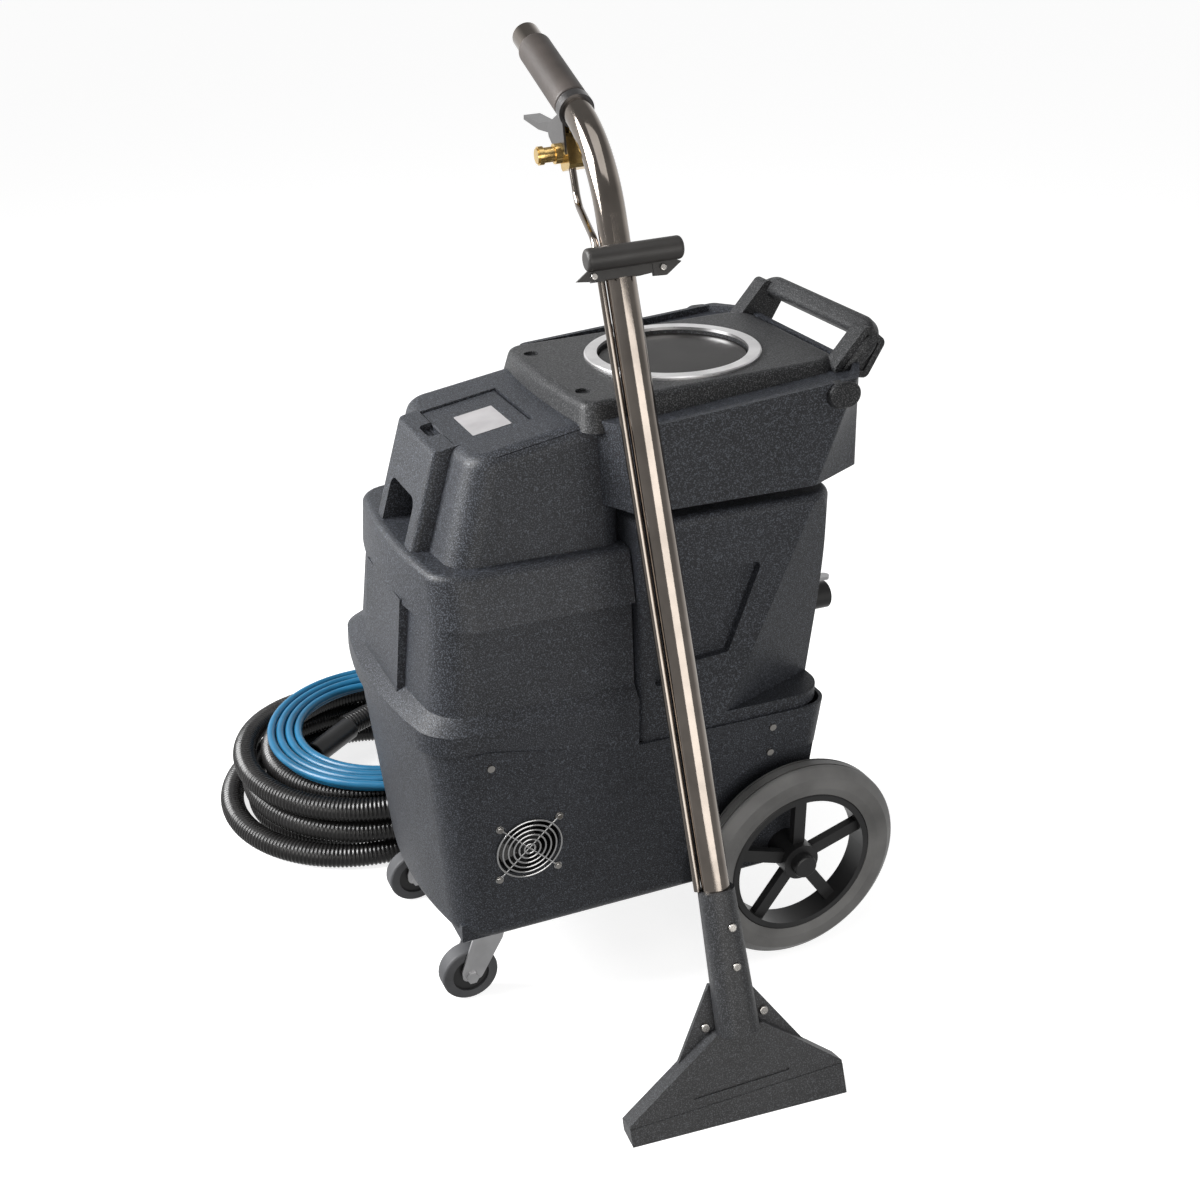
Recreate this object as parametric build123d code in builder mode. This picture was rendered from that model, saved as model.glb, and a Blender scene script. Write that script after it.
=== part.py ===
from build123d import *
import math
import os

# Portable carpet extractor with its floor wand and hose set, in millimetres.
# +X runs to the rear (large wheels), -X to the front (casters), -Y to the side with
# the fan grille, +Z up. Everything is modelled about the machine's mid plane, with the
# floor at z = 0, and moved at the end so that the origin is the middle of the footprint.

# Wheels and casters
WHEEL_D = 304.8
WHEEL_W = 44.0
RIM_D = 220.0
RIM_DEPTH = 36.0
RIM_WALL = 10.0
AXLE_X = 300.0
AXLE_D = 16.0
SHAFT_FIT = 0.05
TRACK_HALF = 210.0
HUB_D = 54.0
SPOKES = 5
SPOKE_W = 18.0
SPOKE_T = 12.0
CAP_D = 34.0
CAP_T = 7.0
CASTER_D = 80.0
CASTER_W = 26.0
CASTER_CORE_D = 52.0
CASTER_TRAIL = 30.0
CASTER_X = -136.0
CASTER_Y = 124.0
CASTER_PIN_D = 9.0
KINGPIN_D = 12.0
PLATE_L = 90.0
PLATE_W = 70.0
PLATE_T = 3.0
FORK_T = 3.0
FORK_TOP_T = 6.0
RUN_GAP = 0.4

# Base tub
BASE_Z = 118.0
BASE_WALL = 5.0
BASE_FRONT_LOW = -205.0
BASE_FRONT_TOP = -239.0
BASE_REAR_LOW = 326.0
BASE_REAR_TOP = 350.0
BASE_HALF_LOW = 178.0
BASE_HALF_TOP = 205.0
BASE_CORNER = 58.0
BASE_BACK_CORNER = 34.0
BASE_ROUND = 27.0
FRONT_BOW = 15.0
SKIRT_BOW = 28.0
SKIRT_CORNER = 58.0
WAIST_CORNER = 52.0
LEDGE_CORNER = 44.0
HIDDEN_CORNER = 24.0
SEAM_FRONT_Z = 430.0
SEAM_REAR_Z = 390.0
SEAM_START_X = -150.0
SEAM_END_X = 50.0
WELL_Y = 176.0
WELL_R = 164.0
WELL_RISE = 8.0

# Tanks
TANK_WALL = 5.0
SPLIT_X = 55.0
SPLIT_GAP = 2.0
SKIRT_TOP = 457.0
SKIRT_FRONT = -249.0
SKIRT_HALF = 204.0
WAIST_LOW = 474.0
WAIST_FRONT = -220.0
WAIST_HALF = 186.0
WAIST_TOP_FRONT = -208.0
WAIST_TOP_HALF = 174.0
BAND_LOW = 590.0
BAND_FRONT = -219.0
BAND_HALF = 187.0
LEDGE_Z = 657.0
LEDGE_FRONT = -211.0
LEDGE_HALF = 168.0
LEDGE_ROUND = 10.0
PANEL_HALF = 72.0
PANEL_PROUD = 9.0
CHEEK_FRONT = -184.0
CHEEK_HALF = 152.0
CHEEK_TOP_FRONT = -128.0
CHEEK_TOP_HALF = 134.0
CHEEK_ROUND = 20.0
HUMP_FOOT_X = -202.0
HUMP_TOP_X = -164.0
HUMP_HALF = 74.0
HUMP_ROUND = 9.0
HAND_HALF = 47.0
HAND_TOP = 716.0
HAND_DEPTH = 52.0
TOP_X = -125.0
TOP_Z = 790.0
TOP_SLOPE = 0.18
SHROUD_Z = 712.0
SHROUD_HALF = 197.0
SHROUD_STEP_X = 22.0
SHROUD_SIDE_X = 54.0
SHROUD_CREASE_LOW = 302.0
SHROUD_CREASE_TOP = 352.0
SHROUD_REAR_LOW = 392.0
SHROUD_REAR_TOP = 386.0
SHROUD_REAR_HALF = 150.0
RIM_X = 55.0
RIM_Z = 822.0
RIM_SLOPE = 0.085
GUTTER_DEPTH = 9.0
LIP_W = 8.0
TANK_B_REAR = 342.0
TANK_B_TOP = 698.0
TANK_B_CORNER = 46.0
TANK_B_FOOT = 18.0
POCKET_DEPTH = 12.0
FACET = ((300.0, 197.0, 683.0), (212.0, 197.0, 471.0), (332.0, 165.0, 560.0))

# Deck, lids and handle
DECK_FRONT = 2.0
DECK_REAR = 376.0
DECK_Z = 839.5
DECK_SLOPE = 0.038
DECK_HALF = 134.0
DECK_FOOT_HALF = 150.0
DECK_H = 34.0
DECK_CORNER = 40.0
DECK_FRONT_CORNER = 22.0
DECK_ROUND = 12.0
DECK_WALL = 6.0
INSERT_X = 27.6
INSERT_Y = 86.6
INSERT_D = 20.0
INSERT_DEPTH = 4.0
LID_X = 193.0
LID_BORE_D = 199.6
LID_MOUTH_D = 176.0
LID_GAP = 1.0
LID_T = 6.0
LID_SINK = 4.0
COLLAR_D = 233.6
COLLAR_T = 4.0
GASKET_T = 2.0
FILL_X0 = -136.0
FILL_X1 = -32.0
FILL_HALF = 66.0
FILL_T = 6.0
FILL_SINK = 2.5
FILL_LIP = 12.0
FILL_GAP = 1.2
SEAT_GAP = 0.3
GRIP_X = 414.0
GRIP_Z = 883.0
GRIP_HALF = 138.0
GRIP_W = 28.0
GRIP_T = 25.0
GRIP_ROUND = 9.0
GRIP_CORNER = 26.0
ARM_X = 366.0
ARM_Z = 830.0
ARM_HALF = 130.0
ARM_WEB = ((346.0, 836.0), (398.0, 897.0), (428.0, 872.0), (402.0, 826.0))
ARM_SINK = 4.0
BOSS_L = 46.0
BOSS_D = 33.0
BOSS_T = 9.0
BOSS_ROUND = 4.0
BOSS_X = 333.0
BOSS_Z = 829.0

# Fan
FAN_X = -97.0
FAN_Z = 267.0
FAN_SIZE = 92.0
FAN_T = 25.0
FAN_PITCH = 82.5
FAN_BORE = 86.0
FAN_HUB_D = 36.0
FAN_PIN_D = 4.0
FAN_BLADES = 7
GUARD_RINGS = 6
GUARD_D = 90.0
GUARD_WIRE = 2.6
SCREW_HEAD_D = 9.0
SCREW_HEAD_T = 3.0
SCREW_D = 4.0

# Works inside the base and the recovery tank
MOTOR_D = 146.0
MOTOR_H = 165.0
PUMP_D = 84.0
PUMP_L = 150.0
FLOAT_D = 40.0
CAGE_D = 62.0
CAGE_H = 88.0
CAGE_WALL = 3.0
FLOAT_TRAVEL = 30.0

# Rear panel and fittings
PANEL_W = 190.0
PANEL_H = 104.0
PANEL_T = 4.0
PANEL_Z = 610.0
SWITCH_W = 22.0
SWITCH_H = 30.0
SWITCH_PITCH = 46.0
SWITCH_RISE = 20.0
INLET_D = 40.0
INLET_PITCH = 96.0
INLET_DROP = 26.0
VAC_PORT_D = 38.1
VAC_PORT_L = 46.0
VAC_PORT_Y = 95.0
PORT_Z = 498.0
DRAIN_D = 42.0
DRAIN_Z = 444.0
DRAIN_L = 60.0

# Wand
TUBE_D = 36.0
TUBE_WALL = 1.6
TIP_D = 35.6
BEND_R = 160.0
BEND_DEG = 51.5
BEND_AT = 1198.0
GRIP_RUN = 270.0
SLEEVE_D = 43.0
SLEEVE_L = 140.0
SLEEVE_TIP = 34.0
SOCKET_Z = 112.0
SOCKET_L = 188.0
SOCKET_D = 45.0
NECK_W = 54.0
NECK_T = 48.0
HEAD_W = 292.0
HEAD_X = -16.0
HEAD_Y = 5.0
HEAD_T = 28.0
LIP_T = 30.0
LIP_H = 30.0
SPRAY_D = 9.0
CLAMP_Z = 1064.0
BAR_D = 27.0
BAR_L = 118.0
VALVE_Y = 92.0
VALVE_Z = 1206.0
STRAP_AT = 86.0
STRAP_W = 13.0
WAND_FOOT = (83.7, -484.5, 0.0)
WAND_AXIS = (-0.03666, 0.31140, 0.94957)
WAND_LIP = (0.99629, -0.06266, 0.05902)
FLOOR_GAP = 0.3

# Hoses
VAC_HOSE_D = 38.0
VAC_HOSE_BORE = 32.0
VAC_R = 236.0
VAC_PITCH = 45.0
VAC_STEP = 38.8
VAC_CENTRE = (-160.0, 428.0)
VAC_DRIFT = 14.0
VAC_LAYERS = (6, 4, 6)
VAC_START = 0.0
VAC_TAIL = 60.0
BLUE_HOSE_D = 12.7
BLUE_HOSE_BORE = 6.4
BLUE_R = 190.0
BLUE_PITCH = 14.6
BLUE_STEP = 13.6
BLUE_CENTRE = (-112.0, 418.0)
BLUE_LAYERS = (12, 13)
BLUE_START = -20.0
CUFF_D = 38.0
CUFF_L = 95.0
FERRULE_D = 17.0
FERRULE_L = 44.0

FAR = 1000.0
WHEEL_R = WHEEL_D / 2
AXLE_Z = WHEEL_R

os.makedirs("parts", exist_ok=True)
pieces = {}


def keep(block, name, place=Location()):
    """Put a finished piece in its place, label it and hold it for writing."""
    piece = block.part.moved(place)
    piece.label = name
    pieces[name] = piece
    return piece


def plan(z, front, rear, half, bow, corner, back_corner):
    """Plan outline at height z: bowed front, straight sides, rounded corners."""
    with BuildSketch(Plane.XY.offset(z)) as outline:
        with BuildLine():
            Line((rear, -half), (front + bow, -half))
            ThreePointArc((front + bow, -half), (front, 0), (front + bow, half))
            Line((front + bow, half), (rear, half))
            Line((rear, half), (rear, -half))
        make_face()
        fillet(outline.vertices().group_by(Axis.X)[0], corner)
        fillet(outline.vertices().group_by(Axis.X)[-1], back_corner)
    return outline.sketch


def side(points, half):
    """A slab with the given outline in side view (x, z), from -half to +half in Y."""
    with BuildPart() as slab:
        with BuildSketch(Plane.XZ):
            with BuildLine():
                Polyline(*points, close=True)
            make_face()
        extrude(amount=half, both=True)
    return slab.part


def over_line(x0, z0, slope, lift=0.0):
    """Everything above a line in side view that climbs by slope, raised by lift."""
    return side([(x0 - FAR, z0 + lift - FAR * slope), (x0 + FAR, z0 + lift + FAR * slope),
                 (x0 + FAR, 2 * FAR), (x0 - FAR, 2 * FAR)], FAR / 2)


def over_seam(lift=0.0):
    """Everything above the joint between base and tanks, raised by lift."""
    return side([(-FAR, SEAM_FRONT_Z + lift), (SEAM_START_X, SEAM_FRONT_Z + lift),
                 (SEAM_END_X, SEAM_REAR_Z + lift), (FAR, SEAM_REAR_Z + lift),
                 (FAR, FAR), (-FAR, FAR)], FAR / 2)


def top_z(x):
    return TOP_Z + TOP_SLOPE * (x - TOP_X)


def deck_z(x):
    return DECK_Z + DECK_SLOPE * (x - DECK_FRONT)


def sloped(x, z, slope):
    """A plane at (x, 0, z) that climbs to the rear by slope."""
    run = math.hypot(1, slope)
    return Plane(origin=(x, 0, z), x_dir=(1 / run, 0, slope / run), z_dir=(-slope / run, 0, 1 / run))


def base_wall(x, z, sign):
    """A plane on the outer face of the base's side wall, facing out."""
    lean = (BASE_HALF_TOP - BASE_HALF_LOW) / (SEAM_FRONT_Z - BASE_Z)
    run = math.hypot(1, lean)
    y = BASE_HALF_LOW + lean * (z - BASE_Z)
    return Plane(origin=(x, sign * y, z), x_dir=(1, 0, 0), z_dir=(0, sign / run, -lean / run))


# Base tub: tapered box with wheel wells, open at the top
def base_form(inset):
    with BuildPart() as form:
        loft([plan(BASE_Z + inset, BASE_FRONT_LOW + inset, BASE_REAR_LOW - inset,
                   BASE_HALF_LOW - inset, SKIRT_BOW, BASE_CORNER - inset, BASE_BACK_CORNER - inset),
              plan(SEAM_FRONT_Z, BASE_FRONT_TOP + inset, BASE_REAR_TOP - inset,
                   BASE_HALF_TOP - inset, SKIRT_BOW, BASE_CORNER - inset, BASE_BACK_CORNER - inset)],
             ruled=True)
        fillet(form.faces().sort_by(Axis.Z)[0].edges(), BASE_ROUND - inset)
    return form.part


def wheel_well(sign, grow):
    with BuildPart() as well:
        with BuildSketch(Plane.XZ.offset(-sign * (WELL_Y - grow))):
            with Locations((AXLE_X, AXLE_Z + WELL_RISE)):
                Circle(WELL_R + grow)
            with Locations((AXLE_X - WELL_R - grow, AXLE_Z + WELL_RISE)):
                Rectangle(4 * WELL_R, 2 * WELL_R, align=(Align.MIN, Align.MAX))
        extrude(amount=-sign * WELL_R)
    return well.part


with BuildPart() as tub_room:
    add(base_form(BASE_WALL))
    for sign in (-1, 1):
        add(wheel_well(sign, BASE_WALL), mode=Mode.SUBTRACT)

fan_wall = base_wall(FAN_X, FAN_Z, -1)

with BuildPart() as base_housing:
    add(base_form(0))
    with Locations((CASTER_X, -CASTER_Y, BASE_Z), (CASTER_X, CASTER_Y, BASE_Z)):
        Box(PLATE_L + 6, PLATE_W + 6, BASE_ROUND, align=(Align.CENTER, Align.CENTER, Align.MIN))
    for sign in (-1, 1):
        add(wheel_well(sign, 0), mode=Mode.SUBTRACT)
    add(tub_room.part, mode=Mode.SUBTRACT)
    add(over_seam(), mode=Mode.SUBTRACT)
    with Locations(fan_wall.location):
        Cylinder(FAN_BORE / 2, 4 * BASE_WALL, mode=Mode.SUBTRACT)
    with Locations(Location((AXLE_X, 0, AXLE_Z), (90, 0, 0))):
        Cylinder(AXLE_D / 2 + SHAFT_FIT, 3 * WELL_Y, mode=Mode.SUBTRACT)
keep(base_housing, "base_housing")


# Recovery tank: front half at full height and the whole top, overhanging the rear
def tank_a_lower(inset):
    """Skirt, waist, front panel and band, from the seam up to the ledge."""
    rear = SPLIT_X + 60

    def ring(z, front, half, bow, corner):
        return plan(z, front + inset, rear, half - inset, bow, corner - inset, HIDDEN_CORNER)

    waist = ring(WAIST_LOW, WAIST_FRONT, WAIST_HALF, FRONT_BOW, WAIST_CORNER)
    with BuildPart() as form:
        if not inset:
            skirt = ring(SKIRT_TOP, SKIRT_FRONT + 2, SKIRT_HALF - 2, SKIRT_BOW, SKIRT_CORNER)
            loft([ring(SEAM_REAR_Z - 20, SKIRT_FRONT, SKIRT_HALF, SKIRT_BOW, SKIRT_CORNER), skirt], ruled=True)
            loft([skirt, waist], ruled=True)
            add(side([(-150, SKIRT_TOP), (WAIST_FRONT - PANEL_PROUD, SKIRT_TOP),
                      (WAIST_TOP_FRONT - PANEL_PROUD, BAND_LOW + 6), (-150, BAND_LOW + 6)], PANEL_HALF))
        loft([ring(SEAM_REAR_Z - 20, WAIST_FRONT, WAIST_HALF, FRONT_BOW, WAIST_CORNER), waist], ruled=True)
        loft([waist, ring(BAND_LOW + 8, WAIST_TOP_FRONT, WAIST_TOP_HALF, FRONT_BOW, LEDGE_CORNER)], ruled=True)
        loft([ring(BAND_LOW + inset, BAND_FRONT, BAND_HALF, SKIRT_BOW, WAIST_CORNER),
              ring(LEDGE_Z - inset, LEDGE_FRONT, LEDGE_HALF, FRONT_BOW, LEDGE_CORNER)], ruled=True)
        if not inset:
            fillet(form.faces().filter_by(Axis.Z).sort_by(Axis.Z)[-1].edges(), LEDGE_ROUND)
        with Locations((SPLIT_X - inset, 0, LEDGE_Z)):
            Box(FAR, FAR, FAR, align=(Align.MIN, Align.CENTER, Align.CENTER), mode=Mode.SUBTRACT)
    return form.part


def tank_a_cheeks(inset):
    """The raised middle in front of the deck, with its sloping top."""
    with BuildPart() as form:
        loft([plan(LEDGE_Z - 20, CHEEK_FRONT + inset, SPLIT_X, CHEEK_HALF - inset, 8, 36, 26),
              plan(DECK_Z, CHEEK_TOP_FRONT + inset, SPLIT_X, CHEEK_TOP_HALF - inset, 8, 34, 26)],
             ruled=True)
        add(over_line(TOP_X, TOP_Z, TOP_SLOPE, -inset), mode=Mode.SUBTRACT)
        if not inset:
            fillet(form.faces().sort_by(Axis.Z)[-1].edges(), CHEEK_ROUND)
    return form.part


def hand_hold(grow):
    with BuildPart() as form:
        with BuildSketch(Plane.YZ.offset(HUMP_FOOT_X - 20)) as mouth:
            with Locations((0, LEDGE_Z - grow)):
                Rectangle(2 * (HAND_HALF + grow), HAND_TOP - LEDGE_Z + 2 * grow,
                          align=(Align.CENTER, Align.MIN))
            fillet(mouth.vertices().group_by(Axis.Y)[-1], 14 + grow)
        extrude(amount=HAND_DEPTH + 20 + grow)
    return form.part


with BuildPart() as hump:
    add(side([(HUMP_FOOT_X, LEDGE_Z - 8), (HUMP_TOP_X, top_z(HUMP_TOP_X)), (-60, top_z(-60)),
              (-60, LEDGE_Z - 8)],
             HUMP_HALF))
    front = hump.faces().sort_by(Axis.X)[0]
    fillet(front.edges().sort_by(Axis.Z)[1:], HUMP_ROUND)


def shroud_form(inset):
    """The wide rear of the top, with slanted rear corners."""
    def outline(z, crease, rear):
        half = SHROUD_HALF - inset
        with BuildSketch(Plane.XY.offset(z)) as sketch:
            with BuildLine():
                Polyline((SHROUD_STEP_X + inset, -CHEEK_TOP_HALF), (SHROUD_SIDE_X + inset, -half),
                         (crease, -half), (rear - inset, -SHROUD_REAR_HALF + inset),
                         (rear - inset, SHROUD_REAR_HALF - inset), (crease, half),
                         (SHROUD_SIDE_X + inset, half), (SHROUD_STEP_X + inset, CHEEK_TOP_HALF), close=True)
            make_face()
        return sketch.sketch

    with BuildPart() as form:
        loft([outline(SHROUD_Z + inset, SHROUD_CREASE_LOW, SHROUD_REAR_LOW),
              outline(2 * DECK_Z - SHROUD_Z, 2 * SHROUD_CREASE_TOP - SHROUD_CREASE_LOW,
                      2 * SHROUD_REAR_TOP - SHROUD_REAR_LOW)], ruled=True)
        add(over_line(RIM_X, RIM_Z, RIM_SLOPE, -inset * (1 + GUTTER_DEPTH / TANK_WALL)), mode=Mode.SUBTRACT)
        if not inset:
            creases = [e for e in form.edges() if abs(e.tangent_at(0.5).Z) > 0.6]
            fillet(creases, 12)
    return form.part


with BuildPart() as gutter:
    with BuildSketch(Plane.XY.offset(SHROUD_Z)) as floor:
        with BuildLine():
            half = SHROUD_HALF - LIP_W
            Polyline((SPLIT_X + LIP_W, -half), (SHROUD_CREASE_TOP - LIP_W, -half),
                     (SHROUD_REAR_TOP - LIP_W, -SHROUD_REAR_HALF + 4),
                     (SHROUD_REAR_TOP - LIP_W, SHROUD_REAR_HALF - 4),
                     (SHROUD_CREASE_TOP - LIP_W, half), (SPLIT_X + LIP_W, half), close=True)
        make_face()
    extrude(amount=FAR)
    add(over_line(RIM_X, RIM_Z, RIM_SLOPE, -GUTTER_DEPTH), mode=Mode.INTERSECT)

fill_plane = sloped((FILL_X0 + FILL_X1) / 2, top_z((FILL_X0 + FILL_X1) / 2), TOP_SLOPE)
FILL_L = FILL_X1 - FILL_X0
FILL_W = 2 * FILL_HALF

with BuildPart() as tank_a_room:
    add(tank_a_lower(TANK_WALL))
    add(tank_a_cheeks(TANK_WALL))
    add(shroud_form(TANK_WALL))
    add(hand_hold(TANK_WALL), mode=Mode.SUBTRACT)
    add(over_seam(TANK_WALL), mode=Mode.INTERSECT)

with BuildPart() as tank_a_skin:
    add(tank_a_lower(0))
    add(tank_a_cheeks(0))
    add(hump.part)
    add(shroud_form(0))
    add(gutter.part, mode=Mode.SUBTRACT)
    add(over_seam(), mode=Mode.INTERSECT)

with BuildPart() as recovery_tank:
    add(tank_a_skin.part)
    add(tank_a_room.part, mode=Mode.SUBTRACT)
    add(hand_hold(0), mode=Mode.SUBTRACT)
    with BuildSketch(fill_plane.offset(-FILL_SINK - FILL_T - SEAT_GAP - TANK_WALL)):
        Rectangle(FILL_L + 2 * TANK_WALL, FILL_W + 2 * TANK_WALL)
    extrude(amount=FILL_SINK + FILL_T + SEAT_GAP + TANK_WALL)
    with BuildSketch(fill_plane.offset(-FILL_SINK - FILL_T - SEAT_GAP)) as recess:
        Rectangle(FILL_L + 2 * FILL_GAP, FILL_W + 2 * FILL_GAP)
        fillet(recess.vertices(), 2)
        with Locations((-FILL_L / 2 - 6, 0)):
            RectangleRounded(24, 44, 8)
    extrude(amount=FILL_T + 40, mode=Mode.SUBTRACT)
    with BuildSketch(fill_plane) as mouth:
        Rectangle(FILL_L - 2 * FILL_LIP, FILL_W - 2 * FILL_LIP)
        fillet(mouth.vertices(), 10)
    extrude(amount=-60, mode=Mode.SUBTRACT)
    with Locations((LID_X, 0, SHROUD_Z + 60)):
        Cylinder(LID_MOUTH_D / 2, 200, align=(Align.CENTER, Align.CENTER, Align.MIN), mode=Mode.SUBTRACT)
keep(recovery_tank, "recovery_tank")

# Solution tank: the rear block between base and top, with a pressed pocket on each side
B_FRONT = SPLIT_X + SPLIT_GAP


def tank_b_form(inset):
    with BuildPart() as form:
        with BuildSketch(Plane.XY.offset(SEAM_REAR_Z + inset)) as foot:
            with Locations((B_FRONT + inset, 0)):
                Rectangle(TANK_B_REAR - B_FRONT - 2 * inset, 2 * (SHROUD_HALF - inset),
                          align=(Align.MIN, Align.CENTER))
            fillet(foot.vertices().group_by(Axis.X)[0], 14)
            fillet(foot.vertices().group_by(Axis.X)[-1], TANK_B_CORNER - inset)
        extrude(amount=TANK_B_TOP - SEAM_REAR_Z - 2 * inset)
        if not inset:
            fillet(form.faces().sort_by(Axis.Z)[-1].edges(), 12)
        for sign in (-1, 1):
            add(tank_b_facet(sign, inset), mode=Mode.SUBTRACT)
        if not inset:
            extrude(foot.sketch, amount=TANK_B_FOOT)
    return form.part


def tank_b_facet(sign, inset):
    """What the slanted cut takes off a rear corner of the solution tank."""
    top, low, back = (Vector(x, sign * y, z) for x, y, z in FACET)
    down = low - top
    out = down.cross(back - top).normalized() * -sign
    with BuildPart() as form:
        with BuildSketch(Plane(origin=top - out * inset, x_dir=down, z_dir=out)):
            Rectangle(2 * FAR, 2 * FAR)
        extrude(amount=FAR)
    return form.part


def tank_b_pocket(sign, grow):
    """The sunk panel in the tank's side: a slab with a slanted outline."""
    with BuildPart() as form:
        with BuildSketch(Plane.XZ.offset(-sign * (SHROUD_HALF - POCKET_DEPTH - grow))) as outline:
            with BuildLine():
                Polyline((70, 606), (122, 612), (230, 621), (185, 498), (139, 495), (80, 464), close=True)
            make_face()
            fillet(outline.vertices(), 7)
            if grow:
                offset(amount=grow)
        extrude(amount=-sign * 40)
    return form.part


with BuildPart() as tank_b_room:
    add(tank_b_form(TANK_WALL))
    for sign in (-1, 1):
        add(tank_b_pocket(sign, TANK_WALL), mode=Mode.SUBTRACT)

with BuildPart() as solution_tank:
    add(tank_b_form(0))
    add(tank_b_room.part, mode=Mode.SUBTRACT)
    for sign in (-1, 1):
        add(tank_b_pocket(sign, 0), mode=Mode.SUBTRACT)
keep(solution_tank, "solution_tank")

# Deck: a shallow tray turned over, standing in the gutter of the tank's top
deck_plane = sloped(LID_X, deck_z(LID_X), DECK_SLOPE)
SEAT_Z = -LID_SINK - LID_T - GASKET_T


def deck_form(inset):
    with BuildPart() as form:
        loft([plan(DECK_Z - DECK_H, DECK_FRONT - 4 + inset, DECK_REAR - inset, DECK_FOOT_HALF - inset, 8,
                   DECK_FRONT_CORNER, DECK_CORNER),
              plan(DECK_Z + 30, DECK_FRONT + 5 + inset, DECK_REAR - 4 - inset, DECK_HALF - 10 - inset, 8,
                   DECK_FRONT_CORNER, DECK_CORNER)], ruled=True)
        add(over_line(DECK_FRONT, DECK_Z, DECK_SLOPE, -inset), mode=Mode.SUBTRACT)
        if not inset:
            fillet(form.faces().sort_by(Axis.Z)[-1].edges(), DECK_ROUND)
    return form.part


with BuildPart() as top_deck:
    add(deck_form(0))
    add(deck_form(DECK_WALL), mode=Mode.SUBTRACT)
    with BuildSketch(deck_plane.offset(-DECK_WALL + 1)):
        Circle(LID_BORE_D / 2 + DECK_WALL)
    extrude(amount=SEAT_Z - 4 + DECK_WALL - 1)
    with BuildSketch(deck_plane.offset(20)):
        Circle(LID_BORE_D / 2)
    extrude(amount=SEAT_Z - 20, mode=Mode.SUBTRACT)
    with BuildSketch(deck_plane.offset(20)):
        Circle(LID_MOUTH_D / 2)
    extrude(amount=-80, mode=Mode.SUBTRACT)
    with BuildSketch(sloped(INSERT_X, deck_z(INSERT_X), DECK_SLOPE)):
        with Locations((0, -INSERT_Y), (0, INSERT_Y)):
            Circle(INSERT_D / 2)
    extrude(amount=-INSERT_DEPTH, mode=Mode.SUBTRACT)
    add(tank_a_skin.part, mode=Mode.SUBTRACT)
keep(top_deck, "top_deck")

with BuildPart() as lid_collar:
    with BuildSketch(deck_plane):
        Circle(COLLAR_D / 2)
        Circle(LID_BORE_D / 2, mode=Mode.SUBTRACT)
    extrude(amount=COLLAR_T)
    chamfer(lid_collar.edges().filter_by(GeomType.CIRCLE).group_by(SortBy.RADIUS)[-1].sort_by(Axis.Z)[-1], 1.5)
keep(lid_collar, "lid_collar")

with BuildPart() as lid_gasket:
    with BuildSketch(deck_plane.offset(SEAT_Z)):
        Circle(LID_BORE_D / 2 - LID_GAP)
        Circle(LID_MOUTH_D / 2 + 2, mode=Mode.SUBTRACT)
    extrude(amount=GASKET_T)
keep(lid_gasket, "lid_gasket")

with BuildPart() as tank_lid:
    with BuildSketch(deck_plane.offset(SEAT_Z + GASKET_T)):
        Circle(LID_BORE_D / 2 - LID_GAP)
    extrude(amount=LID_T)
    with BuildSketch(deck_plane.offset(SEAT_Z + GASKET_T)):
        Circle(LID_MOUTH_D / 2 - 4)
        Circle(LID_MOUTH_D / 2 - 8, mode=Mode.SUBTRACT)
    extrude(amount=-8)
    chamfer(tank_lid.edges().filter_by(GeomType.CIRCLE).group_by(SortBy.RADIUS)[-1].sort_by(Axis.Z)[-1], 1.5)
keep(tank_lid, "tank_lid")

# Fill lid: hinged about the middle of its rounded rear edge
hinge_plane = fill_plane.offset(-FILL_SINK - FILL_T / 2)
with BuildPart() as fill_lid:
    with BuildSketch(hinge_plane):
        with Locations((-FILL_T / 4, 0)):
            Rectangle(FILL_L - FILL_T / 2, FILL_W)
    extrude(amount=FILL_T / 2, both=True)
    with Locations(hinge_plane.location * Location((FILL_L / 2 - FILL_T / 2, 0, 0), (90, 0, 0))):
        Cylinder(FILL_T / 2, FILL_W)
    chamfer(fill_lid.faces().filter_by(Axis(hinge_plane.origin, hinge_plane.z_dir)).sort_by(Axis.Z)[-1]
            .edges().sort_by(Axis.X)[:-1], 1.2)
keep(fill_lid, "fill_lid")

label_plane = fill_plane.offset(-FILL_SINK)
with BuildPart() as lid_label:
    with BuildSketch(label_plane):
        with Locations((3, -18)):
            RectangleRounded(52, 75, 2)
    extrude(amount=0.4)
keep(lid_label, "lid_label")

# Transport handle: a bar across the rear on two webbed arms, standing on the deck's rim
with BuildPart() as transport_handle:
    with BuildLine() as bar:
        FilletPolyline((ARM_X, -ARM_HALF, ARM_Z), (GRIP_X, -GRIP_HALF, GRIP_Z), (GRIP_X, GRIP_HALF, GRIP_Z),
                       (ARM_X, ARM_HALF, ARM_Z), radius=GRIP_CORNER)
    with BuildSketch(Plane(origin=bar.line @ 0, x_dir=(0, 1, 0), z_dir=bar.line % 0)):
        RectangleRounded(GRIP_W, GRIP_T, GRIP_ROUND)
    sweep(transition=Transition.RIGHT)
    for sign in (-1, 1):
        with BuildSketch(Plane.XZ.offset(-sign * (ARM_HALF - GRIP_W / 2))) as web:
            with BuildLine():
                Polyline(*ARM_WEB, close=True)
            make_face()
            fillet(web.vertices(), GRIP_ROUND)
        extrude(amount=-sign * GRIP_W)
        with BuildSketch(Plane.XZ.offset(-sign * (ARM_HALF + GRIP_W / 2))):
            add(web.sketch.moved(Location((0, sign * GRIP_W, 0))))
            offset(amount=-GRIP_ROUND, mode=Mode.REPLACE)
        extrude(amount=sign * ARM_SINK, mode=Mode.SUBTRACT)
    add(deck_form(0), mode=Mode.SUBTRACT)
    add(tank_a_skin.part, mode=Mode.SUBTRACT)
keep(transport_handle, "transport_handle")

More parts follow.
